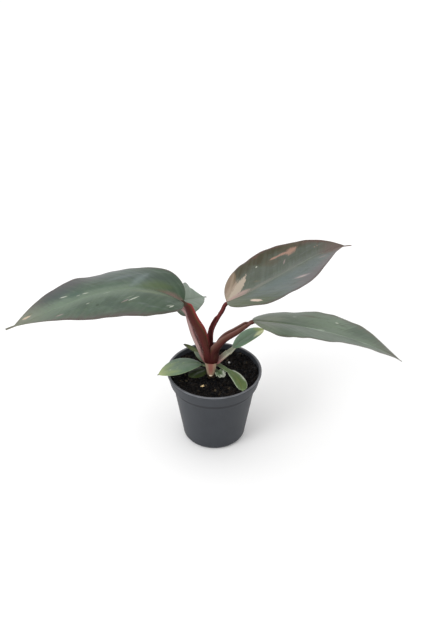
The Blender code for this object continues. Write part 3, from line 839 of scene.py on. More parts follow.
def grain_material(name, light):
    """A porous mineral or dry husk with darker pits."""
    def build(g):
        pits = g.noise(g.place(), 3200.0, 4.0, 0.7)
        body = g.mix(g.ease(pits, 0.38, 0.55), tinted(light, 0.55), light)
        return {"Base Color": body, "Roughness": 0.9, "Normal": g.bump(pits, 0.6, 0.0002)}
    return new_material(name, build)


HUSK_SPOT = (-7.1, -12.1)
HUSK_RISE = 0.75
HUSK_TURN = (0.25, -0.12, math.radians(28))
HUSK_HALF_LENGTH = 2.1
HUSK_HALF_WIDTH = 0.62
HUSK_BLUNT = 0.03  # half of its width at its ends
HUSK_HOLLOW = 0.55  # how far its sides stand up
HUSK_BOW = 0.28  # how far its ends do
HUSK_WALL = 0.09  # half of the wall's thickness
HUSK_TWIST = 0.12
HUSK_ROWS = 22
HUSK_COLUMNS = 24


def husk_mesh():
    """A split seed husk: a small curved boat with thin walls."""
    rings = np.zeros((HUSK_ROWS, HUSK_COLUMNS, 3))
    spin = Euler(HUSK_TURN).to_matrix()
    base = Vector((*HUSK_SPOT, ground(*HUSK_SPOT) + HUSK_RISE))
    for i in range(HUSK_ROWS):
        u = -1.0 + 2.0 * i / (HUSK_ROWS - 1)
        wide = HUSK_HALF_WIDTH * math.sqrt(max(1.0 - u * u, 0.0)) + HUSK_BLUNT
        bow = HUSK_BOW * u * u + HUSK_TWIST * math.sin(4 * u)
        for k in range(HUSK_COLUMNS):
            a = 2 * math.pi * k / HUSK_COLUMNS
            across = wide * math.cos(a)
            hollow = HUSK_HOLLOW * (across / (HUSK_HALF_WIDTH + HUSK_BLUNT)) ** 2
            height = hollow + bow + HUSK_WALL * math.sin(a)
            rings[i, k] = spin @ Vector((u * HUSK_HALF_LENGTH, across, height)) + base
    return ring_mesh("husk", rings)


class PHILO_OT_soil(bpy.types.Operator):
    """Make the peat that fills the pot"""

    bl_idname = "philodendron.soil"
    bl_label = "Soil"

    def execute(self, context):
        mesh = soil_mesh(context.scene.philodendron_pot)
        skin = soil_material(context.scene.philodendron_soil)
        add_mesh("potting_soil", mesh, skin, "soil", "soil")
        return {"FINISHED"}


GRIT_DARK = (0.06, 0.05, 0.042)
GRIT_LIGHT = (0.42, 0.38, 0.32)


class PHILO_OT_soil_bits(bpy.types.Operator):
    """Scatter crumbs, clods, chips of bark, pale grit and fibres over the soil"""

    bl_idname = "philodendron.soil_bits"
    bl_label = "Soil crumbs and fibres"

    def execute(self, context):
        soil = context.scene.philodendron_soil
        bed = bed_mesh()
        area = math.pi * (BED_RADIUS ** 2 - BED_HOLE ** 2) * MM * MM
        peat = crumb_material("peat_crumbs", soil.colour, soil.crumb_colour)
        clod = crumb_material(
            "peat_clods", tinted(soil.colour, 0.7), tinted(soil.crumb_colour, 0.7),
        )
        bark = crumb_material("bark_chips", soil.crumb_colour, soil.chip_colour, 0.8)
        straw = crumb_material("peat_fibres", soil.crumb_colour, soil.fibre_colour, 0.75)
        sand = crumb_material("pale_grit", GRIT_DARK, GRIT_LIGHT, 0.7)
        # Each kind: how many, smallest, largest, place in the seeds, material, facets, how deep
        lumps = {
            "crumbs": (soil.crumbs, 0.00016, 0.00062, 0, peat, 1, 0.00003),
            "clods": (soil.clods, 0.00045, 0.0017, 3, clod, 2, 0.00025),
            "chips": (soil.chips, 0.00028, 0.00125, 9, bark, 2, 0.0001),
            "grit": (soil.grains, 0.00012, 0.00034, 7, sand, 1, 0.0),
        }
        for name, (count, small, large, seed, material, detail, sink) in lumps.items():
            scatter = crumb_scatter(
                name, count / area, small, large, soil.seed + seed, material, detail, sink,
            )
            add_piece(scatter.apply("soil_" + name, bed), "soil")
        scatter = fibre_scatter(
            "fibres", soil.fibres / area, *FIBRE_LENGTHS, FIBRE_RADIUS, soil.seed + 5, straw,
        )
        add_piece(scatter.apply("soil_fibres", bed), "soil")
        bpy.data.meshes.remove(bed)
        return {"FINISHED"}


class PHILO_OT_soil_finds(bpy.types.Operator):
    """Lay the white mineral grain and the split husk on the soil"""

    bl_idname = "philodendron.soil_finds"
    bl_label = "White grain and husk"

    def execute(self, context):
        soil = context.scene.philodendron_soil
        mineral = grain_material("white_mineral", soil.grain_colour)
        add_mesh("white_grain", grain_mesh(), mineral, "soil")
        add_mesh("husk", husk_mesh(), grain_material("dry_husk", soil.husk_colour), "soil")
        return {"FINISHED"}


# Leaf surfaces

TIP_WIDTH = 1.0
VEIN_SLANT = 0.75  # how far a side vein runs forward for each step outwards
VEIN_SWEEP = 0.012  # how much more it does so further out
FULL_WIDTH = 45.0  # width of the blade that the next four values are for
GROOVE_DEPTH = 0.34  # of the furrow over the midrib
GROOVE_WIDTH = 0.62
SHOULDER_RISE = 0.13  # of the swelling on each side of it
SHOULDER_OUT = 1.9  # distance of its middle from the midrib
EDGE_FROM = 0.93  # share of the half width where the margin starts to thin
MARGIN_RIPPLES = (6.3, 10.7)  # how many small waves a margin has, long and short ones
MARGIN_SHIFT = 1.3  # of the right margin's waves from the left's, in radians
LEAST_CURL = 1e-4  # in radians, as the curl is divided by
MIDRIB_STEPS = 400
NORMAL_STEP = 0.004  # share of the length and the half width


@dataclass
class Blade:
    """One leaf blade. Each triple holds a value at its base, its middle and its tip."""

    base: tuple  # where the midrib starts
    length: float
    width: float
    heading: tuple  # of the midrib, from +X towards +Y
    rise: tuple  # of the midrib above level
    roll: tuple  # the right side up, looking from base to tip
    fold: tuple  # of both halves up from the midrib
    curl: tuple  # of each half between midrib and margin, down where negative
    blunt: float  # power of the outline at the base, smaller is rounder
    sharp: float  # power of the outline at the tip
    drip: float  # share of the length in the narrow drip tip
    wave: float = 0.0
    waves: float = 3.0
    lift_left: tuple = (0.0, 0.0)  # of the left margin, evenly spaced from base to tip
    lift_right: tuple = (0.0, 0.0)
    rib: float = 1.5  # thickness along the midrib at the base
    neck: float = 0.0  # a stalk of the same tissue, before the base
    neck_half: float = 0.8  # half of its width
    ripple: float = 0.0  # height of the small uneven waves along the margin
    rows: int = 150
    columns: int = 65


def between(values, t):
    """Smoothly from each of the evenly spaced values to the next."""
    last = len(values) - 1
    place = np.clip(t, 0.0, 1.0) * last
    low = np.minimum(place.astype(int), last - 1)
    share = ease(0.0, 1.0, place - low)
    values = np.array(values)
    return values[low] * (1.0 - share) + values[low + 1] * share


def directions(blade, t):
    """Along the midrib, to its right, and up from the blade, one row for each t."""
    heading = np.radians(bend(blade.heading, t))
    rise = np.radians(bend(blade.rise, t))
    along = np.stack(
        [np.cos(rise) * np.cos(heading), np.cos(rise) * np.sin(heading), np.sin(rise)], -1
    )
    right = np.cross(along, (0.0, 0.0, 1.0))
    right /= np.linalg.norm(right, axis=1)[:, None]
    up = np.cross(right, along)
    roll = np.radians(bend(blade.roll, t))[:, None]
    return along, right * np.cos(roll) + up * np.sin(roll), up * np.cos(roll) - right * np.sin(roll)


def midrib(blade, t):
    """Points of the midrib. A t below 0 lies on the neck, which runs on straight."""
    fine = np.linspace(0.0, 1.0, MIDRIB_STEPS + 1)
    along, _, _ = directions(blade, (fine[1:] + fine[:-1]) / 2)
    steps = np.vstack([np.zeros(3), np.cumsum(along, axis=0) * blade.length / MIDRIB_STEPS])
    inside = np.clip(t, 0.0, 1.0)
    points = np.stack([np.interp(inside, fine, steps[:, k]) for k in range(3)], -1)
    start, _, _ = directions(blade, np.zeros(1))
    return np.array(blade.base) + points + start * (np.minimum(t, 0.0) * blade.length)[:, None]


def half_width(blade, t):
    """Half of the outline's width, with a rounded base and a narrow drip tip."""
    x = np.clip(t / (1.0 - blade.drip), 0.0, 1.0)
    widest = blade.blunt / (blade.blunt + blade.sharp)
    shape = x ** blade.blunt * (1.0 - x) ** blade.sharp
    shape /= widest ** blade.blunt * (1.0 - widest) ** blade.sharp
    half = blade.width / 2 * shape + TIP_WIDTH / 2
    if blade.neck:
        half = np.maximum(half, blade.neck_half * (t < 0.1))
    return half


def plain_face(blade, t, v):
    """Points of the upper face. v runs from -1, the left margin, to 1, the right one."""
    inside = np.clip(t, 0.0, 1.0)
    _, right, up = directions(blade, inside)
    half = half_width(blade, t)
    fold = np.radians(bend(blade.fold, inside))
    curl = np.radians(bend(blade.curl, inside))
    curl = np.where(np.abs(curl) < LEAST_CURL, LEAST_CURL, curl)
    reach = np.abs(v)
    across = half * (np.sin(fold + curl * reach) - np.sin(fold)) / curl * np.sign(v)
    height = half * (np.cos(fold) - np.cos(fold + curl * reach)) / curl
    side = np.where(v > 0, MARGIN_SHIFT, 0.0)
    swell = half / (blade.width / 2)
    wave = blade.wave * np.sin(2 * np.pi * blade.waves * inside + side) * swell
    lift = np.where(v > 0, between(blade.lift_right, inside), between(blade.lift_left, inside))
    height = height + (wave + lift) * reach ** 2
    long, short = (2 * np.pi * count * inside for count in MARGIN_RIPPLES)
    uneven = np.sin(long + 3 * side) + 0.6 * np.sin(short + side)
    height = height + blade.ripple * uneven * reach ** 4 * swell
    return midrib(blade, t) + right * across[:, None] + up * height[:, None]


def normals(blade, t, v):
    """The direction straight out of the upper face."""
    far = np.minimum(t + NORMAL_STEP, 1.0)
    along = plain_face(blade, far, v) - plain_face(blade, far - 2 * NORMAL_STEP, v)
    side = np.minimum(v + NORMAL_STEP, 1.0)
    across = plain_face(blade, t, side) - plain_face(blade, t, side - 2 * NORMAL_STEP)
    out = np.cross(across, along)
    return out / np.maximum(np.linalg.norm(out, axis=1), 1e-9)[:, None]


def leaf_grid(blade):
    """Where the rows and columns of points lie, closest at the tip, the base and the margins."""
    share = np.linspace(0.0, 1.0, blade.rows)
    eased = (1 - np.cos(np.pi * share)) / 2
    if blade.neck:
        eased = (share + eased) / 2
    neck = (blade.neck + 1.0) / blade.length if blade.neck else 0.0
    t = eased * (1.0 + neck) - neck
    v = np.linspace(-1.0, 1.0, blade.columns)
    v = np.sign(v) * np.abs(v) ** 1.1
    return (a.ravel() for a in np.meshgrid(t, v, indexing="ij"))


def vein_cover(t, v, vein, spacing):
    """How much of a side vein lies at each place, fading at the midrib, margin and ends."""
    uneven = 0.2 * np.sin(vein * 0.41 + 1.0) + 0.12 * np.sin(vein * 0.97 + 2 * np.sign(v))
    phase = 2 * np.pi * (vein / spacing + uneven + np.where(v > 0, 0.5, 0.0))
    on_vein = ((1.0 + np.cos(phase)) / 2) ** 4
    fade = ease(0.02, 0.14, np.abs(v)) * (1 - ease(0.82, 1.0, np.abs(v)))
    fade = fade * ease(0.0, 0.06, t) * (1 - ease(0.86, 1.0, t))
    return on_vein * fade


def leaf_mesh(name, blade, lamina, spacing, depth):
    """A blade in rings from stalk to tip, over the top face and back under it, with the places
    that its material reads: grain holds them along, across and by side vein, mark as shares of
    the length and the half width, with 1 for the underside, and relief the veins' cover."""
    t, v = leaf_grid(blade)
    face = plain_face(blade, t, v)
    out = normals(blade, t, v)
    w = v * half_width(blade, t)
    s = t * blade.length
    size = blade.width / FULL_WIDTH
    vein = s - VEIN_SLANT * np.abs(w) - VEIN_SWEEP * w ** 2
    on_vein = vein_cover(t, v, vein, spacing)
    taper = 1.0 - np.clip(t, 0.0, 1.0)
    groove = GROOVE_DEPTH * size * np.exp(-(w / (GROOVE_WIDTH * size + 0.1)) ** 2) * taper ** 0.6
    shoulder = np.exp(-((np.abs(w) - SHOULDER_OUT * size) / size) ** 2)
    shoulder = SHOULDER_RISE * size * shoulder * taper
    above = shoulder * ease(0.0, 0.05, t) - groove * (t >= 0.0) - depth * on_vein
    rib_width = (0.55 + 0.75 * taper) * size + 0.15
    below = (blade.rib - 0.5) * taper ** 0.8 * np.exp(-(w / rib_width) ** 2)
    below = np.where(t < 0.0, blade.rib * 0.8, below) + 0.9 * depth * on_vein
    thick = lamina * (0.55 + 0.45 * taper)
    start = np.full_like(t, EDGE_FROM)
    if blade.neck:
        start = EDGE_FROM * ease(-0.01, 0.08, t)
    past = np.clip(np.abs(v) - start, 0.0, 1.0) / (1.0001 - start)
    edge = np.sqrt(np.maximum(1.0 - past ** 2, 0.0))
    middle = -thick / 2
    top = face + out * (middle + (thick / 2 + above) * edge)[:, None]
    under = face + out * (middle - (thick / 2 + below) * edge)[:, None]
    mark = np.stack([t, v, np.zeros_like(t)], -1)

    def ring(upper, lower):
        upper = upper.reshape(blade.rows, blade.columns, 3)
        lower = lower.reshape(blade.rows, blade.columns, 3)
        return np.concatenate([upper, lower[:, -2:0:-1]], axis=1)

    grain = np.stack([s, w, vein], -1)
    relief = np.stack([on_vein, groove, shoulder], -1)
    return ring_mesh(
        name, ring(top, under), grain=ring(grain, grain),
        mark=ring(mark, mark + (0.0, 0.0, 1.0)), relief=ring(relief, relief),
    )


# Leaf colours

@dataclass
class Fleck:
    """A pointed mark on the upper face, between two places given as (along, across)."""

    start: tuple
    end: tuple
    radius: float
    shade: tuple
    strength: float = 1.0
    soft: float = 0.35  # width of the blurred edge, as a share of the radius


@dataclass
class Band:
    """A tinted stretch of one half, from some way out to the margin."""

    side: int  # -1 for the left half, 1 for the right one
    start: float  # shares of the length
    end: float
    reach: float  # share of the half's width where it begins
    shade: tuple
    strength: float = 0.7
    soft: float = 0.35  # width of its inner edge, as a share of the half's width


@dataclass
class Look:
    """Colours of one leaf."""

    green: tuple
    deep: tuple
    base: tuple = None  # the greener or darker foot of the blade, or painted light where another leaf shades it
    base_until: float = 0.3
    rib: tuple = (0.17, 0.21, 0.14)
    rib_base: tuple = (0.26, 0.17, 0.13)
    rib_strength: float = 0.55
    margin: tuple = (0.07, 0.05, 0.04)
    margin_from: float = 0.9
    margin_strength: float = 0.7
    tip: tuple = (0.12, 0.09, 0.07)
    tip_from: float = 0.9
    under: tuple = (0.13, 0.085, 0.06)
    vein_light: float = 0.12
    glow: tuple = (0.16, 0.2, 0.15)  # the paler stretch along the midrib
    glow_width: float = 8.0
    glow_strength: float = 0.3
    bands: tuple = ()
    late_bands: tuple = ()  # those over the streaks
    shine: float = 0.32
    flecks: tuple = ()


FLECK_INPUTS = {
    "Place": "NodeSocketVector", "Middle": "NodeSocketVector", "Along": "NodeSocketVector",
    "Across": "NodeSocketVector", "Fray": "NodeSocketFloat", "Soft": "NodeSocketFloat",
    "Strength": "NodeSocketFloat",
}


def fleck_group():
    """A node group: how much of a pointed mark covers the place asked for."""
    tree = bpy.data.node_groups.get("fleck")
    if tree:
        return tree
    tree = bpy.data.node_groups.new("fleck", "ShaderNodeTree")
    for name, kind in FLECK_INPUTS.items():
        tree.interface.new_socket(name, in_out="INPUT", socket_type=kind)
    tree.interface.new_socket("Cover", in_out="OUTPUT", socket_type="NodeSocketFloat")
    g = Graph(tree)
    asked = g.add("NodeGroupInput").outputs
    offset = g.vector_math("SUBTRACT", asked["Place"], asked["Middle"])
    along = g.vector_math("DOT_PRODUCT", offset, asked["Along"])
    across = g.math("ABSOLUTE", g.vector_math("DOT_PRODUCT", offset, asked["Across"]))
    out = g.plus(g.times(along, along), across)
    out = g.plus(out, asked["Fray"])
    cover = g.ease(out, g.plus(1.0, asked["Soft"]), g.math("SUBTRACT", 1.0, asked["Soft"]))
    g.add("NodeGroupOutput", {"Cover": g.times(cover, asked["Strength"])})
    return tree


def fleck_cover(g, fleck, place, fray):
    """How much of the fleck covers the place."""
    start, end = Vector(fleck.start), Vector(fleck.end)
    run = (end - start) / 2
    across = run.orthogonal().normalized() / fleck.radius
    middle = (start + end) / 2
    along = run / run.length_squared
    return g.add("ShaderNodeGroup", {
        "Place": place, "Middle": (*middle, 0.0), "Along": (*along, 0.0),
        "Across": (*across, 0.0), "Fray": fray, "Soft": fleck.soft, "Strength": fleck.strength,
    }, node_tree=fleck_group()).outputs["Cover"]


def band_cover(g, band, t, v, uneven):
    """How much of the band covers the place."""
    out = g.plus(g.times(v, float(band.side)), uneven)
    cover = g.ease(out, band.reach, min(band.reach + band.soft, 1.0), 0.0, band.strength)
    place = g.plus(t, g.times(uneven, 0.5))
    cover = g.times(cover, g.ease(place, band.start - 0.06, band.start + 0.06))
    return g.times(cover, g.ease(place, band.end + 0.08, band.end - 0.08))


def skin_patterns(g):
    """The places and noises that the leaf's colours follow."""
    s, w, vein = g.attribute("grain")
    t, v, under = g.attribute("mark")
    on_vein, _, _ = g.attribute("relief")
    side = g.math("SIGN", w)
    streaks = g.join(g.times(vein, 0.55), g.times(w, 0.05), side)
    streaks = g.noise(streaks, 1.0, 4.0, 0.6)
    long = g.join(g.times(s, 0.06), g.times(w, 0.42), side)
    long = g.noise(long, 1.0, 4.0, 0.65)
    clouds = g.noise(g.join(s, w, side), 0.075, 4.0, 0.6)
    spots = g.noise(g.join(s, w, side), 0.55, 3.0, 0.6)
    uneven = g.swing(streaks, 0.7)
    drift = g.swing(clouds, 0.6)
    drift = g.plus(drift, g.times(uneven, 0.22))
    fray = g.join(g.times(vein, 0.9), g.times(w, 0.5), side)
    fray = g.noise(fray, 1.0, 5.0, 0.7)
    fray = g.swing(fray, 2.2)
    return SimpleNamespace(
        s=s, w=w, t=t, v=v, under=under, on_vein=on_vein, reach=g.math("ABSOLUTE", w),
        edge=g.math("ABSOLUTE", v), streaks=streaks, long=long, clouds=clouds, spots=spots,
        uneven=uneven, drift=drift, fray=fray,
    )


def clouded_green(g, skin, look, leaf):
    """The blade's greens, its bands, and the warm and pale streaks."""
    body = g.mix(g.ease(skin.clouds, 0.38, 0.62), look.deep, look.green)
    if look.base:
        body = g.mix(g.ease(skin.t, look.base_until, 0.0), body, look.base)
    for band in look.bands:
        body = g.mix(band_cover(g, band, skin.t, skin.v, skin.uneven), body, band.shade)
    body = g.mix(g.ease(skin.streaks, 0.52, 0.7, 0.0, 0.16), body, leaf.olive)
    body = g.mix(g.ease(skin.long, 0.54, 0.7, 0.0, 0.45), body, leaf.olive)
    pale = g.mix(0.5, body, leaf.sheen)
    body = g.mix(g.ease(skin.streaks, 0.48, 0.34, 0.0, 0.12), body, pale)
    body = g.mix(g.ease(skin.long, 0.46, 0.32, 0.0, 0.75), body, pale)
    for band in look.late_bands:
        body = g.mix(band_cover(g, band, skin.t, skin.v, skin.drift), body, band.shade)
    return g.mix(g.ease(skin.spots, 0.55, 0.72, 0.0, 0.3), body, tinted(look.deep, 0.6))


def ribbed(g, skin, look, body):
    """The side veins, the paler stretch along the midrib, and the midrib."""
    body = g.mix(g.times(skin.on_vein, look.vein_light), body, look.rib)
    glow = g.plus(skin.reach, g.times(skin.uneven, 6.0))
    glow = g.ease(glow, look.glow_width, 0.0, 0.0, look.glow_strength)
    glow = g.times(glow, g.ease(skin.t, 0.08, 0.35))
    body = g.mix(glow, body, look.glow)
    narrow = g.ease(skin.t, 0.0, 1.0, 1.0, 0.3)
    faded = g.ease(skin.spots, 0.3, 0.6, look.rib_strength * 0.6, look.rib_strength)
    line = g.ease(g.math("DIVIDE", skin.reach, narrow), 1.05, 0.25)
    rib = g.mix(g.ease(skin.t, 0.06, 0.28), look.rib_base, look.rib)
    return g.mix(g.times(line, faded), body, rib)


def edged(g, skin, look, body):
    """The margin and the tip."""
    rim = g.plus(skin.edge, g.times(skin.uneven, 0.25))
    rim = g.ease(rim, look.margin_from, 1.0, 0.0, look.margin_strength)
    point = g.plus(skin.t, g.times(skin.uneven, 0.2))
    point = g.ease(point, look.tip_from, 1.0, 0.0, 0.85)
    return g.mix(point, g.mix(rim, body, look.margin), look.tip)


def underside(g, skin, look):
    """The paler, redder lower face with its ribs."""
    back = g.mix(g.ease(skin.streaks, 0.35, 0.65), look.under, tinted(look.under, 0.75))
    back = g.mix(g.ease(skin.reach, 1.6, 0.5, 0.0, 0.7), back, look.rib_base)
    return g.mix(g.times(skin.on_vein, 0.35), back, look.rib_base)


def leaf_material(name, look, leaf):
    """Leaf skin: clouded greens, streaks along the side veins, midrib, margin and flecks."""
    def build(g):
        skin = skin_patterns(g)
        body = clouded_green(g, skin, look, leaf)
        body = edged(g, skin, look, ribbed(g, skin, look, body))
        place = g.join(skin.s, skin.w)
        for fleck in look.flecks:
            body = g.mix(fleck_cover(g, fleck, place, skin.fray), body, fleck.shade)
        body = g.mix(g.ease(skin.under, 0.4, 0.6), body, underside(g, skin, look))
        cells = g.noise(g.join(skin.s, skin.w, skin.under), 9.0, 2.0)
        rough = g.plus(g.times(skin.clouds, 0.1), leaf.gloss)
        rough = g.plus(rough, g.times(skin.under, 0.14))
        return {
            "Base Color": body,
            "Roughness": rough,
            "Specular IOR Level": look.shine,
            "Subsurface Weight": 0.06,
            "Subsurface Radius": (0.0008, 0.001, 0.0005),
            "Subsurface Scale": 1.0,
            "Normal": g.bump(cells, 0.12, 0.00008),
        }
    return new_material(name, build)


CREAM = (0.5, 0.4, 0.29)
WHITE = (0.46, 0.48, 0.41)
PALE_PINK = (0.27, 0.21, 0.2)
ORANGE_PINK = (0.33, 0.195, 0.145)
LIME = (0.3, 0.36, 0.13)

LEFT_BLADE = Blade(
    base=(-18.5, -3.0, 101.8), length=110.5, width=47.5,
    heading=(187, 198, 187), rise=(43, -7, -21), roll=(17, 6, 26),
    fold=(29, 12, 34), curl=(-22, -36, 42), blunt=0.49, sharp=1.0, drip=0.05,
    wave=0.5, lift_left=(0.0, 0.4, 1.0, 0.9, 0.3, 0.3, 0.0, 0.0),
    lift_right=(0.0, 1.1, -0.4, -0.8, 1.0, -0.9, -0.6, 0.3), ripple=0.18,
    rows=170, columns=69,
)
LEFT_LOOK = Look(
    green=(0.078, 0.111, 0.079), deep=(0.055, 0.081, 0.059), base=(0.029, 0.058, 0.028),
    base_until=0.42, rib=(0.165, 0.22, 0.154), rib_base=(0.155, 0.115, 0.09),
    margin=(0.077, 0.053, 0.05), margin_from=0.84, tip=(0.19, 0.185, 0.145),
    tip_from=0.68,
    glow=(0.165, 0.215, 0.16), glow_width=9.0, glow_strength=0.6,
    bands=(
        Band(1, 0.52, 0.94, 0.12, (0.058, 0.078, 0.066), 0.6),
        Band(1, 0.4, 1.0, 0.45, (0.088, 0.084, 0.088), 0.7),
        Band(-1, 0.3, 1.0, 0.68, (0.098, 0.088, 0.084), 0.6),
        Band(1, 0.14, 0.46, 0.1, (0.078, 0.098, 0.1), 0.55),
        Band(1, 0.0, 0.22, 0.35, (0.044, 0.072, 0.044), 0.7),
    ),
    flecks=(
        Fleck((17.0, 0.6), (-3.0, -0.6), 1.7, (0.2, 0.135, 0.11), 0.75, 1.0),
        Fleck((96.0, 9.0), (62.0, 14.0), 5.0, (0.068, 0.066, 0.068), 0.6, 1.0),
        Fleck((84.0, 7.0), (66.0, 9.0), 3.0, (0.052, 0.07, 0.07), 0.5, 1.0),
        Fleck((71.0, 4.2), (61.0, 4.6), 2.2, (0.046, 0.08, 0.064), 0.7, 1.0),
        Fleck((22.0, 9.5), (6.0, 13.0), 3.2, (0.036, 0.056, 0.04), 0.7, 1.0),
        Fleck((28.0, 1.6), (9.0, 5.6), 3.4, (0.068, 0.1, 0.036), 0.75, 1.0),
        # Painted sheen: these two grey-blue flecks are a pale reflection painted on the blade.
        Fleck((34.5, 1.5), (22.5, 13.5), 1.8, (0.15, 0.19, 0.185), 0.6, 1.0),
        Fleck((46.0, 9.0), (30.0, 12.5), 1.2, (0.13, 0.158, 0.16), 0.5, 1.0),
        Fleck((64.0, 5.6), (34.0, 4.2), 2.0, (0.05, 0.084, 0.056), 0.6, 1.0),
        Fleck((34.0, -3.4), (9.0, -3.8), 1.5, (0.15, 0.185, 0.11), 0.6, 1.0),
        Fleck((99.6, 1.7), (94.0, 2.0), 0.5, CREAM, 0.9, 0.6),
        Fleck((97.0, 2.6), (92.6, 2.9), 0.4, (0.1, 0.09, 0.05), 0.6, 0.8),
        Fleck((75.2, 5.5), (70.6, 5.0), 0.34, WHITE, 0.8, 0.7),
        Fleck((62.3, 2.8), (58.8, 2.3), 0.28, WHITE, 0.7, 0.7),
        Fleck((66.0, 2.6), (63.6, 2.6), 0.26, WHITE, 0.4, 0.8),
        Fleck((51.4, -2.6), (46.8, -1.3), 0.42, (0.24, 0.28, 0.21), 0.6, 0.9),
        Fleck((80.2, -9.0), (75.8, -9.2), 0.42, PALE_PINK, 0.8, 0.8),
        Fleck((62.4, -7.6), (60.2, -7.3), 0.34, WHITE, 0.5, 0.8),
        Fleck((57.6, -11.4), (55.4, -10.9), 0.75, (0.02, 0.03, 0.02), 0.6, 0.7),
        Fleck((43.0, -13.7), (37.8, -11.4), 0.34, PALE_PINK, 0.75, 0.8),
        Fleck((38.6, -12.8), (31.6, -9.4), 0.33, WHITE, 0.85, 0.7),
        Fleck((40.6, -11.0), (34.0, -8.2), 0.32, (0.24, 0.27, 0.21), 0.4, 0.9),
        Fleck((13.0, -15.6), (9.4, -11.9), 0.44, WHITE, 0.9, 0.6),
        Fleck((15.2, -15.2), (10.8, -12.4), 0.3, WHITE, 0.4, 0.8),
    ),
)
UPPER_BLADE = Blade(
    base=(7.3, 5.6, 96.7), length=105.0, width=45.0,
    heading=(10, 41, 34), rise=(20, 5, -15), roll=(11, -11, -1),
    fold=(19, 15, 27), curl=(-22, -3, 27), blunt=0.28, sharp=0.95, drip=0.06,
    wave=0.5, lift_right=(0.0, 1.2, 2.4, 1.0, 1.8, 1.2, 0.0, 0.0), ripple=0.18,
    rows=165, columns=69,
)
UPPER_LOOK = Look(
    green=(0.097, 0.12, 0.097), deep=(0.069, 0.089, 0.071), base=(0.068, 0.089, 0.048),
    base_until=0.26, rib=(0.18, 0.204, 0.166), rib_base=(0.272, 0.195, 0.164),
    margin=(0.075, 0.052, 0.045), margin_from=0.88, tip=(0.119, 0.071, 0.055),
    tip_from=0.7,
    glow=(0.15, 0.16, 0.14), glow_width=5.0, glow_strength=0.45,
    bands=(
        Band(-1, -0.1, 1.0, -0.05, (0.072, 0.08, 0.062), 0.8, 0.35),
        Band(1, 0.14, 1.0, 0.0, (0.112, 0.134, 0.134), 0.75, 0.35),
        Band(1, 0.34, 1.1, 0.5, (0.13, 0.108, 0.112), 0.75, 0.35),
        Band(1, -0.1, 0.22, 0.4, (0.064, 0.08, 0.036), 0.85, 0.3),
    ),
    late_bands=(
        Band(-1, 0.08, 0.66, 0.5, (0.04, 0.034, 0.014), 0.95, 0.3),
        Band(-1, 0.58, 1.1, 0.66, (0.085, 0.052, 0.04), 0.8, 0.3),
        Band(-1, 0.3, 0.9, 0.88, (0.105, 0.045, 0.032), 0.7, 0.1),
    ),
    flecks=(
        Fleck((-4.0, -5.0), (15.4, -22.0), 5.2, (0.18, 0.125, 0.08), 0.96, 0.12),
        Fleck((-3.0, -1.0), (13.5, -12.5), 3.4, (0.28, 0.215, 0.16), 0.85, 0.5),
        Fleck((-1.0, 1.2), (20.8, -13.2), 2.7, (0.36, 0.3, 0.235), 0.95, 0.16),
        Fleck((-1.0, 0.2), (16.5, -1.6), 2.0, (0.33, 0.24, 0.21), 0.9, 0.4),
        Fleck((6.0, -9.0), (16.0, -20.0), 1.1, (0.11, 0.078, 0.04), 0.7, 0.9),
        Fleck((2.0, -5.0), (14.0, -20.0), 1.3, (0.3, 0.235, 0.175), 0.45, 0.8),
        Fleck((8.0, -0.6), (36.0, -1.0), 0.7, (0.2, 0.195, 0.17), 0.5, 0.9),
        Fleck((34.0, -0.8), (62.0, -0.8), 0.5, (0.17, 0.17, 0.155), 0.3, 0.9),
        Fleck((34.0, -12.0), (46.0, -9.0), 2.4, (0.075, 0.06, 0.036), 0.6, 1.0),
        Fleck((48.0, -14.5), (70.0, -13.0), 2.2, (0.075, 0.066, 0.04), 0.6, 1.0),
        Fleck((22.0, 6.0), (46.0, 5.0), 3.6, (0.096, 0.128, 0.122), 0.6, 1.0),
        Fleck((40.4, -12.4), (47.6, -11.7), 0.62, ORANGE_PINK, 0.85, 0.7),
        Fleck((46.0, -12.0), (55.4, -10.9), 0.72, ORANGE_PINK, 0.85, 0.7),
        Fleck((52.0, -10.2), (62.4, -11.0), 1.7, ORANGE_PINK, 0.85, 0.6),
        Fleck((52.6, -8.6), (55.6, -9.2), 0.4, ORANGE_PINK, 0.5, 0.8),
        Fleck((45.6, -5.2), (49.4, -7.6), 0.42, PALE_PINK, 0.8, 0.7),
        Fleck((29.2, -13.5), (31.0, -14.0), 0.42, WHITE, 0.7, 0.7),
        Fleck((21.4, -5.2), (25.6, -2.9), 0.8, (0.13, 0.12, 0.085), 0.5, 0.9),
        Fleck((11.4, 12.8), (16.4, 18.0), 1.45, (0.56, 0.45, 0.37), 0.97, 0.25),
        Fleck((40.6, 10.4), (50.4, 13.2), 0.95, (0.3, 0.25, 0.26), 0.85, 0.9),
        Fleck((43.0, 11.4), (48.6, 12.8), 0.4, CREAM, 0.4, 0.8),
        Fleck((68.0, 4.6), (74.6, 5.6), 0.7, PALE_PINK, 0.7, 0.9),
        Fleck((73.6, -5.5), (74.8, -5.7), 0.36, ORANGE_PINK, 0.7, 0.8),
        Fleck((76.0, -5.6), (77.2, -5.8), 0.34, ORANGE_PINK, 0.6, 0.8),
        Fleck((74.0, 1.0), (102.0, 3.0), 5.5, (0.13, 0.088, 0.072), 0.85, 1.0),
    ),
)
LOWER_BLADE = Blade(
    base=(23.2, -2.0, 88.0), length=95.5, width=47.0,
    heading=(8, -15, 1), rise=(-10, -7, -38), roll=(15, 12, 8),
    fold=(14, 15, 15), curl=(-41, -15, -6), blunt=0.58, sharp=1.1, drip=0.02,
    wave=0.5, lift_left=(0.0, 0.3, 0.0, 0.0, 0.3, 0.4, 0.0, 0.0),
    lift_right=(0.0, 0.0, 0.0, 0.4, 0.8, 0.4, 0.0, 0.0), ripple=0.16,
    rows=160, columns=69,
)
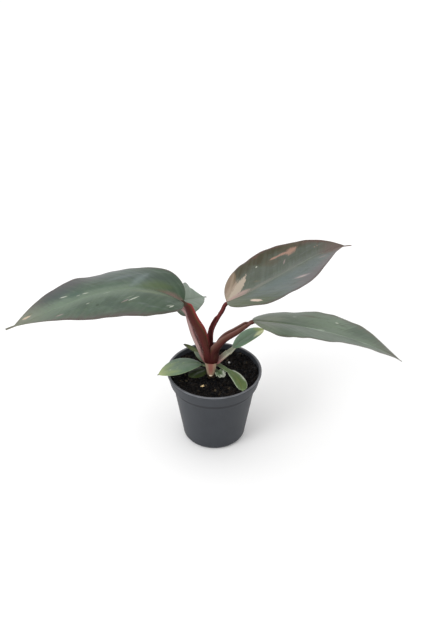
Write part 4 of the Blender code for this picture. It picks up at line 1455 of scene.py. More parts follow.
# Painted light: the pale base and the pale first band of the left, far half are lighter where the
# upper leaf shades this blade. The pale rib at the base and the pale streak along it are partly its
# own paler midrib and partly painted light over the shade in the midrib's groove.
LOWER_LOOK = Look(
    green=(0.106, 0.143, 0.101), deep=(0.082, 0.115, 0.08), base=(0.195, 0.225, 0.165),
    base_until=0.25, rib=(0.185, 0.235, 0.175), rib_base=(0.25, 0.28, 0.2), rib_strength=0.75,
    margin=(0.075, 0.066, 0.05), margin_from=0.9, tip=(0.105, 0.09, 0.07),
    tip_from=0.74, glow=(0.185, 0.225, 0.175), glow_width=7.0, glow_strength=0.45,
    bands=(
        Band(-1, -0.1, 0.6, 0.0, (0.16, 0.215, 0.148), 0.65),
        Band(-1, 0.62, 0.95, 0.0, (0.066, 0.092, 0.066), 0.5),
        Band(-1, 0.4, 1.1, 0.66, (0.125, 0.112, 0.092), 0.6),
        Band(1, 0.5, 1.1, 0.72, (0.115, 0.12, 0.1), 0.5),
    ),
    flecks=(
        Fleck((4.0, -3.0), (20.0, -6.0), 3.4, (0.235, 0.275, 0.2), 0.7, 1.0),
        Fleck((2.0, 0.4), (34.0, 1.2), 0.9, (0.23, 0.265, 0.185), 0.8, 1.0),
        Fleck((32.0, 2.6), (44.0, 2.4), 0.8, (0.34, 0.42, 0.34), 0.95, 0.7),
        Fleck((38.0, 0.6), (44.6, -0.6), 0.6, (0.3, 0.36, 0.28), 0.8, 0.7),
        Fleck((39.0, 4.4), (47.0, 4.0), 0.8, (0.28, 0.34, 0.27), 0.85, 0.8),
        Fleck((45.0, 2.6), (57.0, 1.8), 0.65, (0.27, 0.33, 0.26), 0.9, 0.8),
        Fleck((56.0, 1.6), (64.0, 1.6), 0.5, (0.22, 0.26, 0.2), 0.7, 0.8),
        Fleck((64.6, 2.8), (73.0, 1.6), 0.6, (0.34, 0.41, 0.32), 0.95, 0.6),
        Fleck((24.0, -10.5), (26.4, -11.1), 0.4, WHITE, 0.8, 0.6),
        Fleck((48.8, -11.4), (51.2, -11.9), 0.46, WHITE, 0.9, 0.6),
        Fleck((51.0, -10.6), (57.0, -9.4), 0.9, (0.075, 0.088, 0.064), 0.6, 1.0),
        Fleck((27.0, -14.8), (38.0, -13.8), 1.2, (0.1, 0.09, 0.055), 0.6, 0.9),
    ),
)
BACK_BLADE = Blade(
    base=(-26.2, 12.0, 91.8), length=49.0, width=22.5,
    heading=(59, 63, 61), rise=(-18, -25, -25), roll=(-76, -43, -25),
    fold=(34, 25, 8), curl=(0, 0, 0), blunt=0.2, sharp=0.84, drip=0.08,
    wave=0.3, ripple=0.12, rows=100, columns=49,
)
BACK_LOOK = Look(
    green=(0.16, 0.216, 0.158), deep=(0.128, 0.178, 0.126), rib=(0.2, 0.26, 0.19),
    rib_base=(0.22, 0.2, 0.15), margin=(0.08, 0.08, 0.065), margin_from=0.93,
    margin_strength=0.8, tip=(0.12, 0.12, 0.1), tip_from=0.93, under=(0.13, 0.11, 0.085),
    vein_light=0.14,
)
LARGE = {
    "blade_left": (LEFT_BLADE, LEFT_LOOK, "large_leaf"),
    "blade_upper": (UPPER_BLADE, UPPER_LOOK, "large_leaf"),
    "blade_lower": (LOWER_BLADE, LOWER_LOOK, "large_leaf"),
    "blade_back": (BACK_BLADE, BACK_LOOK, "back_leaf"),
}

SMALL_RIGHT_BLADE = Blade(
    base=(11.7, 3.0, 64.3), length=24.2, width=12.0,
    heading=(30, 30, 25), rise=(33, 17, -4), roll=(1, 6, -1),
    fold=(11, 12, 10), curl=(-21, -18, -10), blunt=0.73, sharp=0.67, drip=0.03,
    rib=1.1, rows=80, columns=41,
)
SMALL_RIGHT_LOOK = Look(
    green=(0.17, 0.29, 0.185), deep=(0.135, 0.235, 0.148), rib=(0.21, 0.31, 0.19),
    rib_base=(0.2, 0.21, 0.13), margin=(0.26, 0.33, 0.16), margin_from=0.88,
    tip=(0.64, 0.74, 0.28), tip_from=0.7, under=(0.16, 0.2, 0.11), vein_light=0.1,
    flecks=(
        Fleck((14.5, 4.4), (25.0, 1.0), 1.7, (0.76, 0.82, 0.46), 0.9, 0.7),
        Fleck((18.0, -2.4), (24.0, 0.2), 1.0, LIME, 0.6, 0.8),
    ),
)
SMALL_LEFT_BLADE = Blade(
    base=(-7.3, -3.0, 56.1), length=30.0, width=15.0,
    heading=(189, 191, 192), rise=(21, -12, -27), roll=(-9, 1, 0),
    fold=(11, 8, 11), curl=(-21, -22, -9), blunt=0.85, sharp=0.83, drip=0.03,
    rib=1.3, neck=2.6, rows=90, columns=45,
)
SMALL_LEFT_LOOK = Look(
    green=(0.108, 0.172, 0.112), deep=(0.082, 0.136, 0.086), rib=(0.15, 0.21, 0.13),
    rib_base=(0.16, 0.2, 0.11), margin=(0.25, 0.33, 0.17), margin_from=0.9,
    tip=(0.36, 0.4, 0.2), tip_from=0.72, under=(0.15, 0.19, 0.1), vein_light=0.1,
    flecks=(
        Fleck((17.0, 3.6), (31.0, 0.8), 2.2, LIME, 0.4, 1.0),
        Fleck((15.0, -5.6), (31.0, -0.6), 1.8, LIME, 0.45, 1.0),
        Fleck((28.6, 0.0), (32.0, 0.0), 0.7, (0.06, 0.05, 0.03), 0.8, 0.6),
        Fleck((11.4, 1.6), (13.0, 1.2), 0.34, LIME, 0.4, 0.9),
        Fleck((15.8, -1.7), (17.4, -2.3), 0.36, LIME, 0.4, 0.9),
        Fleck((20.4, -1.0), (21.8, -1.6), 0.34, WHITE, 0.4, 0.9),
        Fleck((14.4, 3.8), (15.8, 3.2), 0.3, LIME, 0.4, 0.9),
        Fleck((18.6, 4.6), (19.8, 4.2), 0.3, WHITE, 0.3, 0.9),
    ),
)
SMALL_FRONT_BLADE = Blade(
    base=(8.9, -7.0, 54.0), length=18.0, width=7.8,
    heading=(-46, -57, -88), rise=(0, -17, -27), roll=(-3, 9, 3),
    fold=(14, 12, 11), curl=(-18, -18, -9), blunt=0.65, sharp=0.5, drip=0.03,
    rib=1.1, neck=11.0, neck_half=1.5, rows=96, columns=37,
)
SMALL_FRONT_LOOK = Look(
    green=(0.112, 0.165, 0.056), deep=(0.084, 0.132, 0.044), rib=(0.16, 0.2, 0.08),
    rib_base=(0.11, 0.16, 0.09), margin=(0.4, 0.45, 0.33), margin_from=0.84,
    margin_strength=0.9, tip=(0.22, 0.28, 0.15), tip_from=0.9, under=(0.15, 0.2, 0.11),
    vein_light=0.1, glow_strength=0.1, shine=0.2,
    bands=(
        Band(-1, 0.02, 0.62, 0.5, (0.52, 0.56, 0.46), 0.9),
        Band(1, 0.1, 0.95, 0.6, (0.16, 0.22, 0.12), 0.8),
    ),
    flecks=(
        Fleck((3.0, 0.4), (16.0, -0.4), 1.6, (0.07, 0.095, 0.024), 0.4, 1.0),
        Fleck((5.0, 1.2), (16.0, 0.6), 0.7, (0.12, 0.14, 0.035), 0.6, 1.0),
    ),
)
SMALL_DARK_BLADE = Blade(
    base=(-5.7, -4.3, 53.0), length=12.0, width=10.6,
    heading=(206, 210, 216), rise=(2, -8, -16), roll=(-6, -6, -6),
    fold=(10, 8, 6), curl=(-20, -20, -10), blunt=0.6, sharp=0.7, drip=0.02,
    rib=1.1, neck=3.0, rows=60, columns=33,
)
# Painted shade: this leaf's own dark green is darkened further, as it lies in shade beneath the
# other leaves.
SMALL_DARK_SHADED_LOOK = Look(
    green=(0.02, 0.032, 0.007), deep=(0.012, 0.021, 0.004), rib=(0.03, 0.045, 0.012),
    rib_base=(0.03, 0.04, 0.015), margin=(0.03, 0.04, 0.01), tip=(0.03, 0.03, 0.01),
    under=(0.03, 0.04, 0.02), vein_light=0.08, shine=0.12, glow_strength=0.0,
)
SMALL_BACK_BLADE = Blade(
    base=(-6.2, 4.2, 57.0), length=15.5, width=2.6,
    heading=(156, 154, 152), rise=(23, 19, 9), roll=(14, 12, 10),
    fold=(16, 14, 12), curl=(-14, -14, -10), blunt=0.7, sharp=0.7, drip=0.03,
    rib=1.0, neck=3.4, rows=60, columns=29,
)
SMALL_BACK_LOOK = Look(
    green=(0.105, 0.13, 0.048), deep=(0.074, 0.098, 0.034), rib=(0.16, 0.18, 0.08),
    rib_base=(0.14, 0.14, 0.06), margin=(0.04, 0.036, 0.024), margin_from=0.82,
    tip=(0.035, 0.028, 0.022), tip_from=0.72, under=(0.08, 0.08, 0.04), vein_light=0.05,
    shine=0.15, glow_strength=0.1,
)
SMALL_UPRIGHT_BLADE = Blade(
    base=(-6.1, -0.2, 56.2), length=9.0, width=5.2,
    heading=(168, 166, 160), rise=(36, 44, 50), roll=(-10, -10, -10),
    fold=(14, 12, 10), curl=(-20, -20, -10), blunt=0.6, sharp=0.7, drip=0.03,
    rib=1.0, neck=2.4, rows=50, columns=29,
)
SMALL_UPRIGHT_LOOK = Look(
    green=(0.115, 0.19, 0.098), deep=(0.088, 0.152, 0.076), rib=(0.18, 0.25, 0.13),
    rib_base=(0.18, 0.22, 0.12), margin=(0.27, 0.33, 0.18), margin_from=0.8,
    tip=(0.28, 0.34, 0.2), tip_from=0.9, under=(0.14, 0.18, 0.1), vein_light=0.08,
)
TINY_BLADE = Blade(
    base=(2.1, -5.2, 52.6), length=6.4, width=6.2,
    heading=(-52, -50, -45), rise=(4, -14, -30), roll=(0, 0, 0),
    fold=(12, 10, 6), curl=(-20, -16, -8), blunt=0.5, sharp=0.6, drip=0.03,
    wave=0.7, waves=3.4, rib=1.0, neck=3.4, ripple=0.5, rows=60, columns=41,
)
TINY_LOOK = Look(
    green=(0.155, 0.225, 0.12), deep=(0.06, 0.11, 0.04), rib=(0.26, 0.32, 0.2),
    rib_base=(0.08, 0.12, 0.05), margin=(0.36, 0.41, 0.3), margin_from=0.66,
    margin_strength=0.8, tip=(0.5, 0.52, 0.43), tip_from=0.52, under=(0.2, 0.24, 0.16),
    vein_light=0.4,
    flecks=(
        Fleck((2.0, -2.4), (6.0, -1.4), 0.8, (0.52, 0.54, 0.46), 0.9, 0.5),
        Fleck((3.6, 1.2), (6.4, 0.8), 0.6, (0.52, 0.54, 0.46), 0.9, 0.5),
        Fleck((0.0, 0.4), (4.4, 0.2), 1.0, (0.05, 0.085, 0.03), 0.8, 0.7),
    ),
)
SMALL = {
    "blade_small_right": (SMALL_RIGHT_BLADE, SMALL_RIGHT_LOOK, "small_leaf"),
    "leaf_small_left": (SMALL_LEFT_BLADE, SMALL_LEFT_LOOK, "small_leaf"),
    "leaf_small_front": (SMALL_FRONT_BLADE, SMALL_FRONT_LOOK, "small_leaf"),
    "leaf_small_dark": (SMALL_DARK_BLADE, SMALL_DARK_SHADED_LOOK, "dark_small_leaf"),
    "leaf_small_back": (SMALL_BACK_BLADE, SMALL_BACK_LOOK, "dark_small_leaf"),
    "leaf_small_upright": (SMALL_UPRIGHT_BLADE, SMALL_UPRIGHT_LOOK, "small_leaf"),
    "leaf_tiny": (TINY_BLADE, TINY_LOOK, "tiny_leaf"),
}


def make_leaves(context, leaves, scale):
    """Make each blade, with its veins at this share of a large blade's."""
    leaf = context.scene.philodendron_leaf
    lamina = leaf.lamina / MM * (0.7 + 0.3 * scale)
    for node, (blade, look, slot) in leaves.items():
        mesh = leaf_mesh(
            node, blade, lamina, leaf.vein_spacing / MM * scale, leaf.vein_depth / MM * scale,
        )
        name = node.replace("blade", "leaf") + "_finished"
        add_mesh(name, mesh, leaf_material(node + "_skin", look, leaf), slot, node)


SMALL_SCALE = 0.42  # of the small leaves' veins


class PHILO_OT_large_leaves(bpy.types.Operator):
    """Make the four large leaf blades with their veins, margins and variegation"""

    bl_idname = "philodendron.large_leaves"
    bl_label = "Large leaves"

    def execute(self, context):
        make_leaves(context, LARGE, 1.0)
        return {"FINISHED"}


class PHILO_OT_small_leaves(bpy.types.Operator):
    """Make the small leaves at the foot of the stem"""

    bl_idname = "philodendron.small_leaves"
    bl_label = "Small leaves"

    def execute(self, context):
        make_leaves(context, SMALL, SMALL_SCALE)
        return {"FINISHED"}


# Petioles

WING_EDGE = 0.8  # width of a wing's rounded edge
GROOVE_FLOOR = 0.3
BACK_POINTS = 13
STALK_SIDES = 60
SECTION_STEPS = 6  # of the smooth line from each corner to the next
LINE_STEPS = 40  # and along a stalk, from each point of its path to the next
WAIST_AT = 0.26  # share of the stalk's length
WAIST_REACH = 0.18
TOP_GAP = 0.3  # from the last point of a stalk's path to the base of its blade
TOP_DROP = 0.45  # of that point below the upper face, as a share of the rib's thickness
INTO_RIB = 3.0  # how far a stalk runs on inside the midrib
END_DROP = 0.7  # of its end, as a share of the same
SHRINK = 0.75  # of its section there


@dataclass
class Petiole:
    """One leaf stalk, a winged sheath below and a plain round stalk above the notch."""

    path: tuple  # from inside the stem up, without the last stretch to the blade
    half_width: tuple  # at the base, the middle and the top
    back: tuple  # depth behind the groove
    wing: tuple  # height of the sheath's wings
    wing_from: float
    notch: float  # share of the length where the wings end
    shades: tuple  # from the back to the wings' edges
    last_stretch: float = 4.0
    turn: float = 0.0  # of the groove about the stalk, in degrees
    waist: float = 0.0  # how much narrower the sheath is above the crown, as a share
    foot: float = 0.0  # radius where it leaves the crown, or 0 for its own section
    foot_until: float = 0.2  # share of the length over which the foot takes its own section
    streak: tuple = (0.115, 0.085, 0.03)
    base_shade: tuple = (0.036, 0.0052, 0.0048)
    base_until: float = 0.24  # share of the length that it tints
    top_shade: tuple = ()  # where it meets the midrib
    rings: int = 130


DEEP = (0.03, 0.0048, 0.0048)
MAROON = (0.044, 0.007, 0.0062)
OLIVE_BROWN = (0.046, 0.03, 0.01)

PETIOLES = {
    "petiole_left": Petiole(
        path=(
            (-2.4, -2.6, 57.4), (-3.9, -4.2, 62.0), (-5.2, -5.0, 69.0), (-8.6, -3.9, 80.0),
            (-13.1, -3.2, 89.0),
        ),
        half_width=(2.7, 3.2, 2.1), back=(1.9, 2.0, 1.5), wing=(1.6, 3.0, 1.5), wing_from=0.32,
        turn=42.0, waist=0.34, notch=0.92,
        shades=((0.062, 0.012, 0.011), (0.064, 0.017, 0.013), (0.078, 0.034, 0.015),
                (0.185, 0.027, 0.026), (0.29, 0.046, 0.05)),
        last_stretch=3.0, foot=3.3, foot_until=0.22, streak=OLIVE_BROWN,
        top_shade=(0.05, 0.036, 0.024),
    ),
    "petiole_upper": Petiole(
        path=(
            (-2.2, -1.4, 60.0), (-2.4, -1.3, 66.5), (-3.0, -0.6, 73.0), (-1.7, 1.0, 80.0),
            (1.8, 2.9, 86.6), (4.7, 4.2, 91.0), (6.7, 5.2, 95.0),
        ),
        half_width=(2.4, 1.7, 1.2), back=(2.2, 1.5, 1.2), wing=(1.8, 1.4, 1.2), wing_from=0.3,
        notch=0.7, shades=(DEEP, DEEP, MAROON, (0.078, 0.015, 0.0145), (0.11, 0.022, 0.022)),
        last_stretch=0.0, foot=3.2, foot_until=0.3, streak=(0.046, 0.016, 0.01),
    ),
    "petiole_lower": Petiole(
        path=(
            (-1.8, -2.6, 57.4), (-0.6, -3.9, 62.2), (1.5, -4.4, 68.8), (6.5, -3.7, 75.4),
            (13.4, -3.0, 80.2), (18.6, -2.6, 84.3), (22.0, -2.3, 86.9),
        ),
        half_width=(3.0, 2.7, 1.2), back=(1.8, 1.8, 1.3), wing=(2.9, 2.8, 1.2), wing_from=0.26,
        notch=0.89,
        shades=(DEEP, (0.046, 0.009, 0.008), (0.068, 0.018, 0.014), (0.1, 0.04, 0.032),
                (0.165, 0.084, 0.072)),
        last_stretch=0.0, foot=3.9, foot_until=0.26, streak=(0.066, 0.046, 0.018),
    ),
    "petiole_back": Petiole(
        path=(
            (-4.2, -1.2, 57.0), (-7.3, -0.2, 61.8), (-10.1, 1.1, 68.0), (-13.2, 3.5, 75.2),
            (-15.2, 5.3, 82.0), (-17.0, 7.8, 87.4), (-21.0, 9.6, 90.6), (-25.2, 9.6, 91.6),
            (-28.2, 10.6, 91.4),
        ),
        half_width=(2.4, 2.0, 1.1), back=(1.5, 1.4, 1.1), wing=(1.6, 1.8, 1.0), wing_from=0.3,
        notch=0.62,
        shades=((0.23, 0.205, 0.17), (0.34, 0.24, 0.222), (0.39, 0.25, 0.242),
                (0.41, 0.265, 0.258), (0.3, 0.155, 0.152)),
        last_stretch=0.0, foot=2.3, streak=(0.2, 0.185, 0.142),
        base_shade=(0.24, 0.11, 0.102),
    ),
    "petiole_small_right": Petiole(
        path=((-0.6, -2.0, 55.2), (2.0, -1.4, 57.2), (5.0, -0.6, 59.6), (8.4, 1.0, 62.0)),
        half_width=(3.3, 2.7, 1.0), back=(1.5, 1.1, 0.8), wing=(1.0, 0.8, 0.5), wing_from=0.2,
        notch=0.95,
        shades=((0.19, 0.11, 0.098), (0.255, 0.185, 0.155), (0.33, 0.335, 0.245),
                (0.37, 0.39, 0.29), (0.4, 0.4, 0.31)),
        last_stretch=4.0, streak=(0.3, 0.34, 0.235), base_shade=(0.3, 0.13, 0.13),
        base_until=0.56, rings=80,
    ),
}


def through(points, steps):
    """Points on the smooth line from the second of the given ones to the last but one."""
    fine = []
    for i in range(len(points) - 3):
        a, b, c, d = points[i:i + 4]
        for t in np.linspace(0.0, 1.0, steps, endpoint=False):
            fine.append(0.5 * (
                2 * b + (c - a) * t + (2 * a - 5 * b + 4 * c - d) * t ** 2
                + (3 * b - a - 3 * c + d) * t ** 3
            ))
    fine.append(points[-2])
    return np.array(fine)


def smooth_line(points, count):
    """Evenly spaced points on the smooth line through the given ones."""
    points = np.array(points, dtype=float)
    points = np.vstack([2 * points[0] - points[1], points, 2 * points[-1] - points[-2]])
    return even(through(points, LINE_STEPS), count)


def even(line, count):
    """The same line, with its points evenly spaced."""
    run = np.concatenate([[0.0], np.cumsum(np.linalg.norm(np.diff(line, axis=0), axis=1))])
    where = np.linspace(0.0, run[-1], count)
    return np.stack([np.interp(where, run, line[:, k]) for k in range(line.shape[1])], -1)


def sheath_corners(half, back, wing):
    """Outline of a sheath as (across, towards the groove), with thin rounded wings."""
    lip = 0.9 * half
    edge = max(lip - WING_EDGE, 0.5 * half)
    floor = min(GROOVE_FLOOR, wing)
    turns = np.linspace(math.pi, 2 * math.pi, BACK_POINTS)
    arc = [(half * math.cos(a), back * math.sin(a)) for a in turns]
    right = [(half, 0.35 * wing), (lip + 0.05, 0.8 * wing), (lip - 0.12, wing), (lip - 0.35, wing),
             (edge, 0.72 * wing), (0.42 * half, floor)]
    left = [(-across, height) for across, height in right[::-1]]
    return arc + right + [(0.0, floor * 0.8)] + left


def stalk_section(half, back, wing, rounded):
    """A smooth closed section, STALK_SIDES points, starting at its left side."""
    corners = sheath_corners(half, back, wing)
    closed = np.array(corners[-1:] + corners + corners[:2])
    section = even(through(closed, SECTION_STEPS), STALK_SIDES + 1)[:-1]
    turn = np.pi + 2 * np.pi * np.arange(STALK_SIDES) / STALK_SIDES
    radius = (half + back) / 2
    plain = np.stack([radius * np.cos(turn), radius * np.sin(turn)], -1)
    return section * (1 - rounded) + plain * rounded


def stalk_frame(points, end_up=1.0, turn=0.0):
    """Side and groove directions along a stalk. The groove faces the stem at the base,
    turned about the stalk by turn degrees."""
    along = np.gradient(points, axis=0)
    along /= np.linalg.norm(along, axis=1)[:, None]
    share = end_up * np.linspace(0.0, 1.0, len(points))[:, None]
    inward = np.array((STEM_X, STEM_Y, 0.0)) - points
    inward[:, 2] = 0.0
    inward /= np.maximum(np.linalg.norm(inward, axis=1), 1.0)[:, None]
    groove = inward * (1.0 - share) + np.array((0.0, 0.0, 1.0)) * (share + 0.02)
    groove -= along * np.sum(groove * along, axis=1)[:, None]
    groove /= np.linalg.norm(groove, axis=1)[:, None]
    turn = math.radians(turn)
    groove = groove * math.cos(turn) + np.cross(along, groove) * math.sin(turn)
    return np.cross(along, groove), groove


def stalk_mesh(name, points, sections, end_up=1.0, turn=0.0):
    """A stalk through its sections, with attributes for its length, its sides and its height."""
    side, groove = stalk_frame(points, end_up, turn)
    sections = np.array(sections)
    rings = (
        points[:, None] + side[:, None] * sections[..., :1] + groove[:, None] * sections[..., 1:]
    )
    t = np.linspace(0.0, 1.0, len(points))
    s = np.concatenate([[0.0], np.cumsum(np.linalg.norm(np.diff(points, axis=0), axis=1))])
    low = sections[..., 1].min(axis=1)[:, None]
    high = sections[..., 1].max(axis=1)[:, None]
    height = (sections[..., 1] - low) / (high - low)
    wide = np.abs(sections[..., 0]).max(axis=1)[:, None]
    across = sections[..., 0] / wide
    shape = height.shape
    grain = np.stack([np.broadcast_to(s[:, None], shape), sections[..., 0], sections[..., 1]], -1)
    mark = np.stack([np.broadcast_to(t[:, None], shape), across, height], -1)
    return ring_mesh(name, rings, grain=grain, mark=mark)


def petiole_mesh(name, petiole, blade):
    """A leaf stalk that starts inside the crown and ends inside its blade's midrib."""
    along, _, up = directions(blade, np.zeros(1))
    top = np.array(blade.base) - along[0] * TOP_GAP - up[0] * blade.rib * TOP_DROP
    path = list(petiole.path)
    if petiole.last_stretch:
        path += [top - along[0] * petiole.last_stretch, top]
    end = np.array([INTO_RIB / blade.length])
    _, _, up = directions(blade, end)
    path.append(midrib(blade, end)[0] - up[0] * blade.rib * END_DROP)
    t = np.linspace(0.0, 1.0, petiole.rings)
    half = bend(petiole.half_width, t)
    half = half * (1.0 - petiole.waist * np.exp(-(((t - WAIST_AT) / WAIST_REACH) ** 2)))
    back = bend(petiole.back, t)
    wing = bend(petiole.wing, t)
    wing = 0.5 + (wing - 0.5) * ease(0.0, petiole.wing_from, t)
    wing = wing * (1.0 - ease(petiole.notch - 0.05, petiole.notch, t)) + 0.05
    rounded_share = ease(petiole.notch - 0.07, petiole.notch + 0.05, t)
    if petiole.foot:
        own = ease(0.0, petiole.foot_until, t)
        half = petiole.foot * (1 - own) + half * own
        back = petiole.foot * (1 - own) + back * own
        rounded_share = np.maximum(rounded_share, 1 - ease(0.02, petiole.foot_until * 1.1, t))
    shrink = 1.0 - SHRINK * ease(0.92, 1.0, t)
    sections = [
        stalk_section(*values) * size
        for *values, size in zip(half, back, wing, rounded_share, shrink)
    ]
    return stalk_mesh(name, smooth_line(path, petiole.rings), sections, turn=petiole.turn)


STALK_LEVELS = (0.05, 0.34, 0.52, 0.72, 0.94)  # where a petiole's five shades lie
PALE_PETIOLES = ("petiole_back", "petiole_small_right")


def stalk_material(name, petiole, roughness):
    """Stalk skin: dark at the back and bright along the wings, with fine lengthwise streaks."""
    def build(g):
        s, across, height = g.attribute("grain")
        t, _, level = g.attribute("mark")
        slow = g.times(s, 0.05)
        lines = g.join(slow, g.times(across, 1.6), g.times(height, 1.6))
        lines = g.noise(lines, 1.0, 5.0, 0.65)
        fine = g.join(slow, g.times(across, 7.0), g.times(height, 7.0))
        fine = g.noise(fine, 1.0, 3.0, 0.6)
        uneven = g.swing(lines, 0.5)
        where = g.plus(level, uneven)
        body = g.ramp(where, zip(STALK_LEVELS, petiole.shades))
        body = g.mix(g.ease(lines, 0.5, 0.66, 0.0, 0.6), body, petiole.streak)
        body = g.mix(g.ease(fine, 0.55, 0.75, 0.0, 0.3), body,
                     [c * 1.5 + 0.01 for c in petiole.shades[3]])
        body = g.mix(g.ease(t, petiole.base_until, petiole.base_until / 4), body,
                     petiole.base_shade)
        if petiole.top_shade:
            body = g.mix(g.ease(t, 0.88, 0.93), body, petiole.top_shade)
        specks = g.noise(g.join(g.times(s, 1.4), across, height), 2.2, 2.0)
        specks = g.times(g.ease(specks, 0.68, 0.75), 0.35)
        body = g.mix(specks, body, tinted(petiole.shades[0], 0.5))
        return {
            "Base Color": body,
            "Roughness": g.ease(fine, 0.3, 0.7, roughness, roughness + 0.12),
            "Specular IOR Level": 0.1,
            "Subsurface Weight": 0.04,
            "Subsurface Radius": (0.001, 0.0004, 0.0003),
            "Subsurface Scale": 1.0,
            "Normal": g.bump(fine, 0.3, 0.0001),
        }
    return new_material(name, build)


class PHILO_OT_petioles(bpy.types.Operator):
    """Make the petioles, from the crown to their blades"""

    bl_idname = "philodendron.petioles"
    bl_label = "Petioles"

    def execute(self, context):
        stalk = context.scene.philodendron_stalk
        for node, petiole in PETIOLES.items():
            blade, _, _ = {**LARGE, **SMALL}[node.replace("petiole", "blade")]
            mesh = petiole_mesh(node, petiole, blade)
            skin = stalk_material(node + "_skin", petiole, stalk.roughness)
            slot = "pale_petiole" if node in PALE_PETIOLES else "petiole"
            add_mesh(node + "_finished", mesh, skin, slot, node)
        return {"FINISHED"}


# Stem and old petiole

STEM_PROFILE = (
    (2.2, 24.0), (2.5, 36.0), (2.5, 45.3), (2.9, 52.0), (3.5, 56.5), (3.9, 59.0), (4.1, 61.0),
    (3.7, 64.0), (2.9, 67.0), (1.6, 69.0),
)
STEM_RINGS = 120
STEM_SIDES = 72
STEM_SCARS = ((56.2, 0.12, 0.5), (51.5, 0.1, 0.4))  # height, depth and half width
STUB_TOP = (-2.2, -6.4, 58.9)
STUB_MIDDLE = (-2.2, -7.0, 55.0)
STUB_FOOT = (-2.3, -7.8, 50.6)
STUB_HALF_WIDTH = (3.5, 2.8, 1.9)
STUB_BACK = (0.9, 0.9, 0.8)
STUB_WING = 1.5
STUB_RINGS = 60
STUB_FOOT_SHRINK = 0.45  # of its width, at the rounded foot
STUB_FOOT_FROM = 0.86


def stem_mesh():
    """The short stem, with faint rings where older leaves stood."""
    radii, heights = zip(*STEM_PROFILE)
    z = np.linspace(heights[0], heights[-1], STEM_RINGS)
    radius = np.interp(z, heights, radii)
    for at, rise, reach in STEM_SCARS:
        radius = radius + rise * np.exp(-((z - at) / reach) ** 2)
    turn = np.linspace(0.0, 2 * np.pi, STEM_SIDES, endpoint=False)
    radius, around = np.meshgrid(radius, turn, indexing="ij")
    ribs = 1.0 + 0.012 * np.sin(9 * around) + 0.01 * np.sin(17 * around + 1.0)
    x, y = np.cos(around), np.sin(around)
    height = np.broadcast_to(z[:, None], x.shape)
    share = (height - z[0]) / (z[-1] - z[0])
    rings = np.stack([STEM_X + radius * ribs * x, STEM_Y + radius * ribs * y, height], -1)
    grain = np.stack([height, x * 3, y * 3], -1)
    mark = np.stack([share, x, (1 + y) / 2], -1)
    return ring_mesh("stem", rings, grain=grain, mark=mark)


def stem_material(stalk):
    """Maroon above, browner and greener towards the soil, with fine lengthwise lines."""
    def build(g):
        z, x, y = g.attribute("grain")
        lines = g.noise(g.join(g.times(z, 0.06), x, y), 1.6, 5.0, 0.65)
        body = g.mix(
            g.ease(lines, 0.35, 0.7), tinted(stalk.maroon, 0.7), tinted(stalk.maroon, 1.5),
        )
        low = g.mix(lines, (0.035, 0.022, 0.012), (0.1, 0.06, 0.03))
        body = g.mix(g.ease(z, 58.0, 51.0), body, low)
        return {
            "Base Color": body,
            "Roughness": g.ease(lines, 0.3, 0.7, stalk.roughness, stalk.roughness + 0.2),
            "Normal": g.bump(lines, 0.4, 0.0002),
        }
    return new_material("stem_skin", build)


def stub_mesh():
    """The cut sheath, which narrows to a rounded foot."""
    points = smooth_line((STUB_TOP, STUB_MIDDLE, STUB_FOOT), STUB_RINGS)
    t = np.linspace(0.0, 1.0, STUB_RINGS)
    half = bend(STUB_HALF_WIDTH, t) * (1.0 - STUB_FOOT_SHRINK * ease(STUB_FOOT_FROM, 1.0, t))
    sections = [stalk_section(*values, STUB_WING, 0.0) for values in zip(half, bend(STUB_BACK, t))]
    return stalk_mesh("old_petiole", points, sections, end_up=0.0)


def stub_material(stalk):
    """Dried sheath: tan, reddish along the middle, cream along its edges and at the cut."""
    def build(g):
        s, across, height = g.attribute("grain")
        t, side, _ = g.attribute("mark")
        lines = g.join(g.times(s, 0.12), g.times(across, 1.8), height)
        lines = g.noise(lines, 1.0, 5.0, 0.65)
        body = g.mix(g.ease(lines, 0.35, 0.65), tinted(stalk.tan, 0.8), stalk.tan)
        middle = g.ease(g.math("ABSOLUTE", g.plus(side, 0.05)), 0.75, 0.15)
        middle = g.times(middle, g.ease(t, 0.95, 0.45))
        body = g.mix(g.times(middle, 0.9), body, (0.2, 0.06, 0.045))
        flank = g.ease(g.math("ABSOLUTE", side), 0.45, 0.75, 0.0, 0.55)
        body = g.mix(flank, body, (0.21, 0.17, 0.112))
        rim = g.ease(g.math("ABSOLUTE", side), 0.86, 0.97, 0.0, 0.85)
        body = g.mix(rim, body, (0.42, 0.33, 0.24))
        cut = g.ease(g.plus(t, g.times(lines, 0.08)), 0.92, 0.98)
        body = g.mix(cut, body, (0.86, 0.74, 0.56))
        return {
            "Base Color": body,
            "Roughness": g.ease(lines, 0.3, 0.7, 0.5, 0.7),
            "Normal": g.bump(lines, 0.5, 0.0002),
        }
    return new_material("old_petiole_skin", build)


class PHILO_OT_stem(bpy.types.Operator):
    """Make the short stem and the cut stub of the oldest petiole in front of it"""

    bl_idname = "philodendron.stem"
    bl_label = "Stem and old petiole"

    def execute(self, context):
        stalk = context.scene.philodendron_stalk
        add_mesh("stem_finished", stem_mesh(), stem_material(stalk), "stem", "stem")
        add_mesh(
            "old_petiole_finished", stub_mesh(), stub_material(stalk), "old_petiole", "old_petiole",
        )
        return {"FINISHED"}


# Stage

KEY_PLACE = (-0.75, -0.6, 0.7)
KEY_SIZE = 0.6
FLOOR_HALF = 3.0
SENSOR_HEIGHT = 36.0


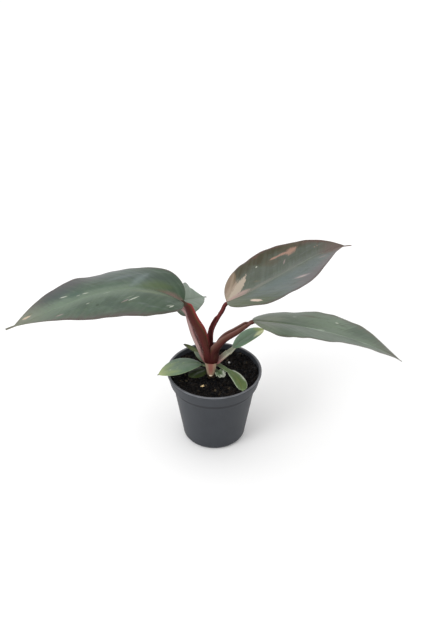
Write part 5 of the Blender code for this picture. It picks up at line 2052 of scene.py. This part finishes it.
class PHILO_OT_stage(bpy.types.Operator):
    """Make the plain floor, the soft lights and the camera"""

    bl_idname = "philodendron.stage"
    bl_label = "Stage"

    def execute(self, context):
        scene = context.scene
        stage = scene.philodendron_stage
        self.floor(stage)
        self.lights(scene, stage)
        self.camera(scene, stage)
        scene.view_settings.view_transform = "Standard"
        return {"FINISHED"}

    def floor(self, stage):
        bm = bmesh.new()
        bmesh.ops.create_grid(bm, x_segments=8, y_segments=8, size=FLOOR_HALF)
        mesh = bpy.data.meshes.new("floor")
        bm.to_mesh(mesh)
        bm.free()
        floor = bpy.data.objects.new("floor", mesh)
        link(floor)

        def build(g):
            soft = g.noise(g.place(), 9.0, 2.0)
            body = g.mix(soft, tinted(stage.floor_colour, 0.99), stage.floor_colour)
            return {"Base Color": body, "Roughness": 0.8}

        mesh.materials.append(new_material("pale_floor", build))

    def lights(self, scene, stage):
        world = bpy.data.worlds.new("even_light")
        world.use_nodes = True
        background = world.node_tree.nodes["Background"]
        background.inputs["Color"].default_value = (1.0, 1.0, 1.0, 1.0)
        background.inputs["Strength"].default_value = stage.sky
        scene.world = world
        aim = Vector(stage.aim)
        light = bpy.data.lights.new("key", "AREA")
        light.shape = "DISK"
        light.size = KEY_SIZE
        light.energy = stage.key
        lamp = bpy.data.objects.new("key", light)
        lamp.location = KEY_PLACE
        lamp.rotation_euler = (aim - Vector(KEY_PLACE)).to_track_quat("-Z", "Y").to_euler()
        link(lamp)

    def camera(self, scene, stage):
        data = bpy.data.cameras.new("camera")
        data.lens = stage.lens
        data.sensor_fit = "VERTICAL"
        data.sensor_height = SENSOR_HEIGHT
        data.clip_start = 0.01
        camera = bpy.data.objects.new("camera", data)
        back = Vector((0.0, -math.cos(stage.elevation), math.sin(stage.elevation)))
        camera.location = Vector(stage.aim) + back * stage.distance
        camera.rotation_euler = (math.pi / 2 - stage.elevation, 0.0, 0.0)
        link(camera)
        scene.camera = camera


# Panel

SETTINGS = {
    "philodendron_pot": PotSettings,
    "philodendron_soil": SoilSettings,
    "philodendron_leaf": LeafSettings,
    "philodendron_stalk": StalkSettings,
    "philodendron_stage": StageSettings,
}
OPERATORS = (
    PHILO_OT_pot, PHILO_OT_soil, PHILO_OT_soil_bits, PHILO_OT_soil_finds, PHILO_OT_stem,
    PHILO_OT_petioles, PHILO_OT_large_leaves, PHILO_OT_small_leaves, PHILO_OT_stage,
)


class PHILO_PT_panel(bpy.types.Panel):
    """The plant's settings, and a button for each piece or group of pieces."""

    bl_idname = "PHILO_PT_panel"
    bl_label = "Philodendron"
    bl_space_type = "VIEW_3D"
    bl_region_type = "UI"
    bl_category = "Philodendron"

    def draw(self, context):
        for name, kind in SETTINGS.items():
            box = self.layout.box()
            box.label(text=kind.__doc__)
            for key in kind.__annotations__:
                box.prop(getattr(context.scene, name), key)
        for operator in OPERATORS:
            self.layout.operator(operator.bl_idname)


def register():
    for kind in (*SETTINGS.values(), *OPERATORS, PHILO_PT_panel):
        bpy.utils.register_class(kind)
    for name, kind in SETTINGS.items():
        setattr(bpy.types.Scene, name, PointerProperty(type=kind))


def unregister():
    for name in SETTINGS:
        delattr(bpy.types.Scene, name)
    for kind in reversed((*SETTINGS.values(), *OPERATORS, PHILO_PT_panel)):
        bpy.utils.unregister_class(kind)


def main():
    register()
    for operator in OPERATORS:
        _, name = operator.bl_idname.split(".")
        getattr(bpy.ops.philodendron, name)()


if __name__ == "__main__":
    main()
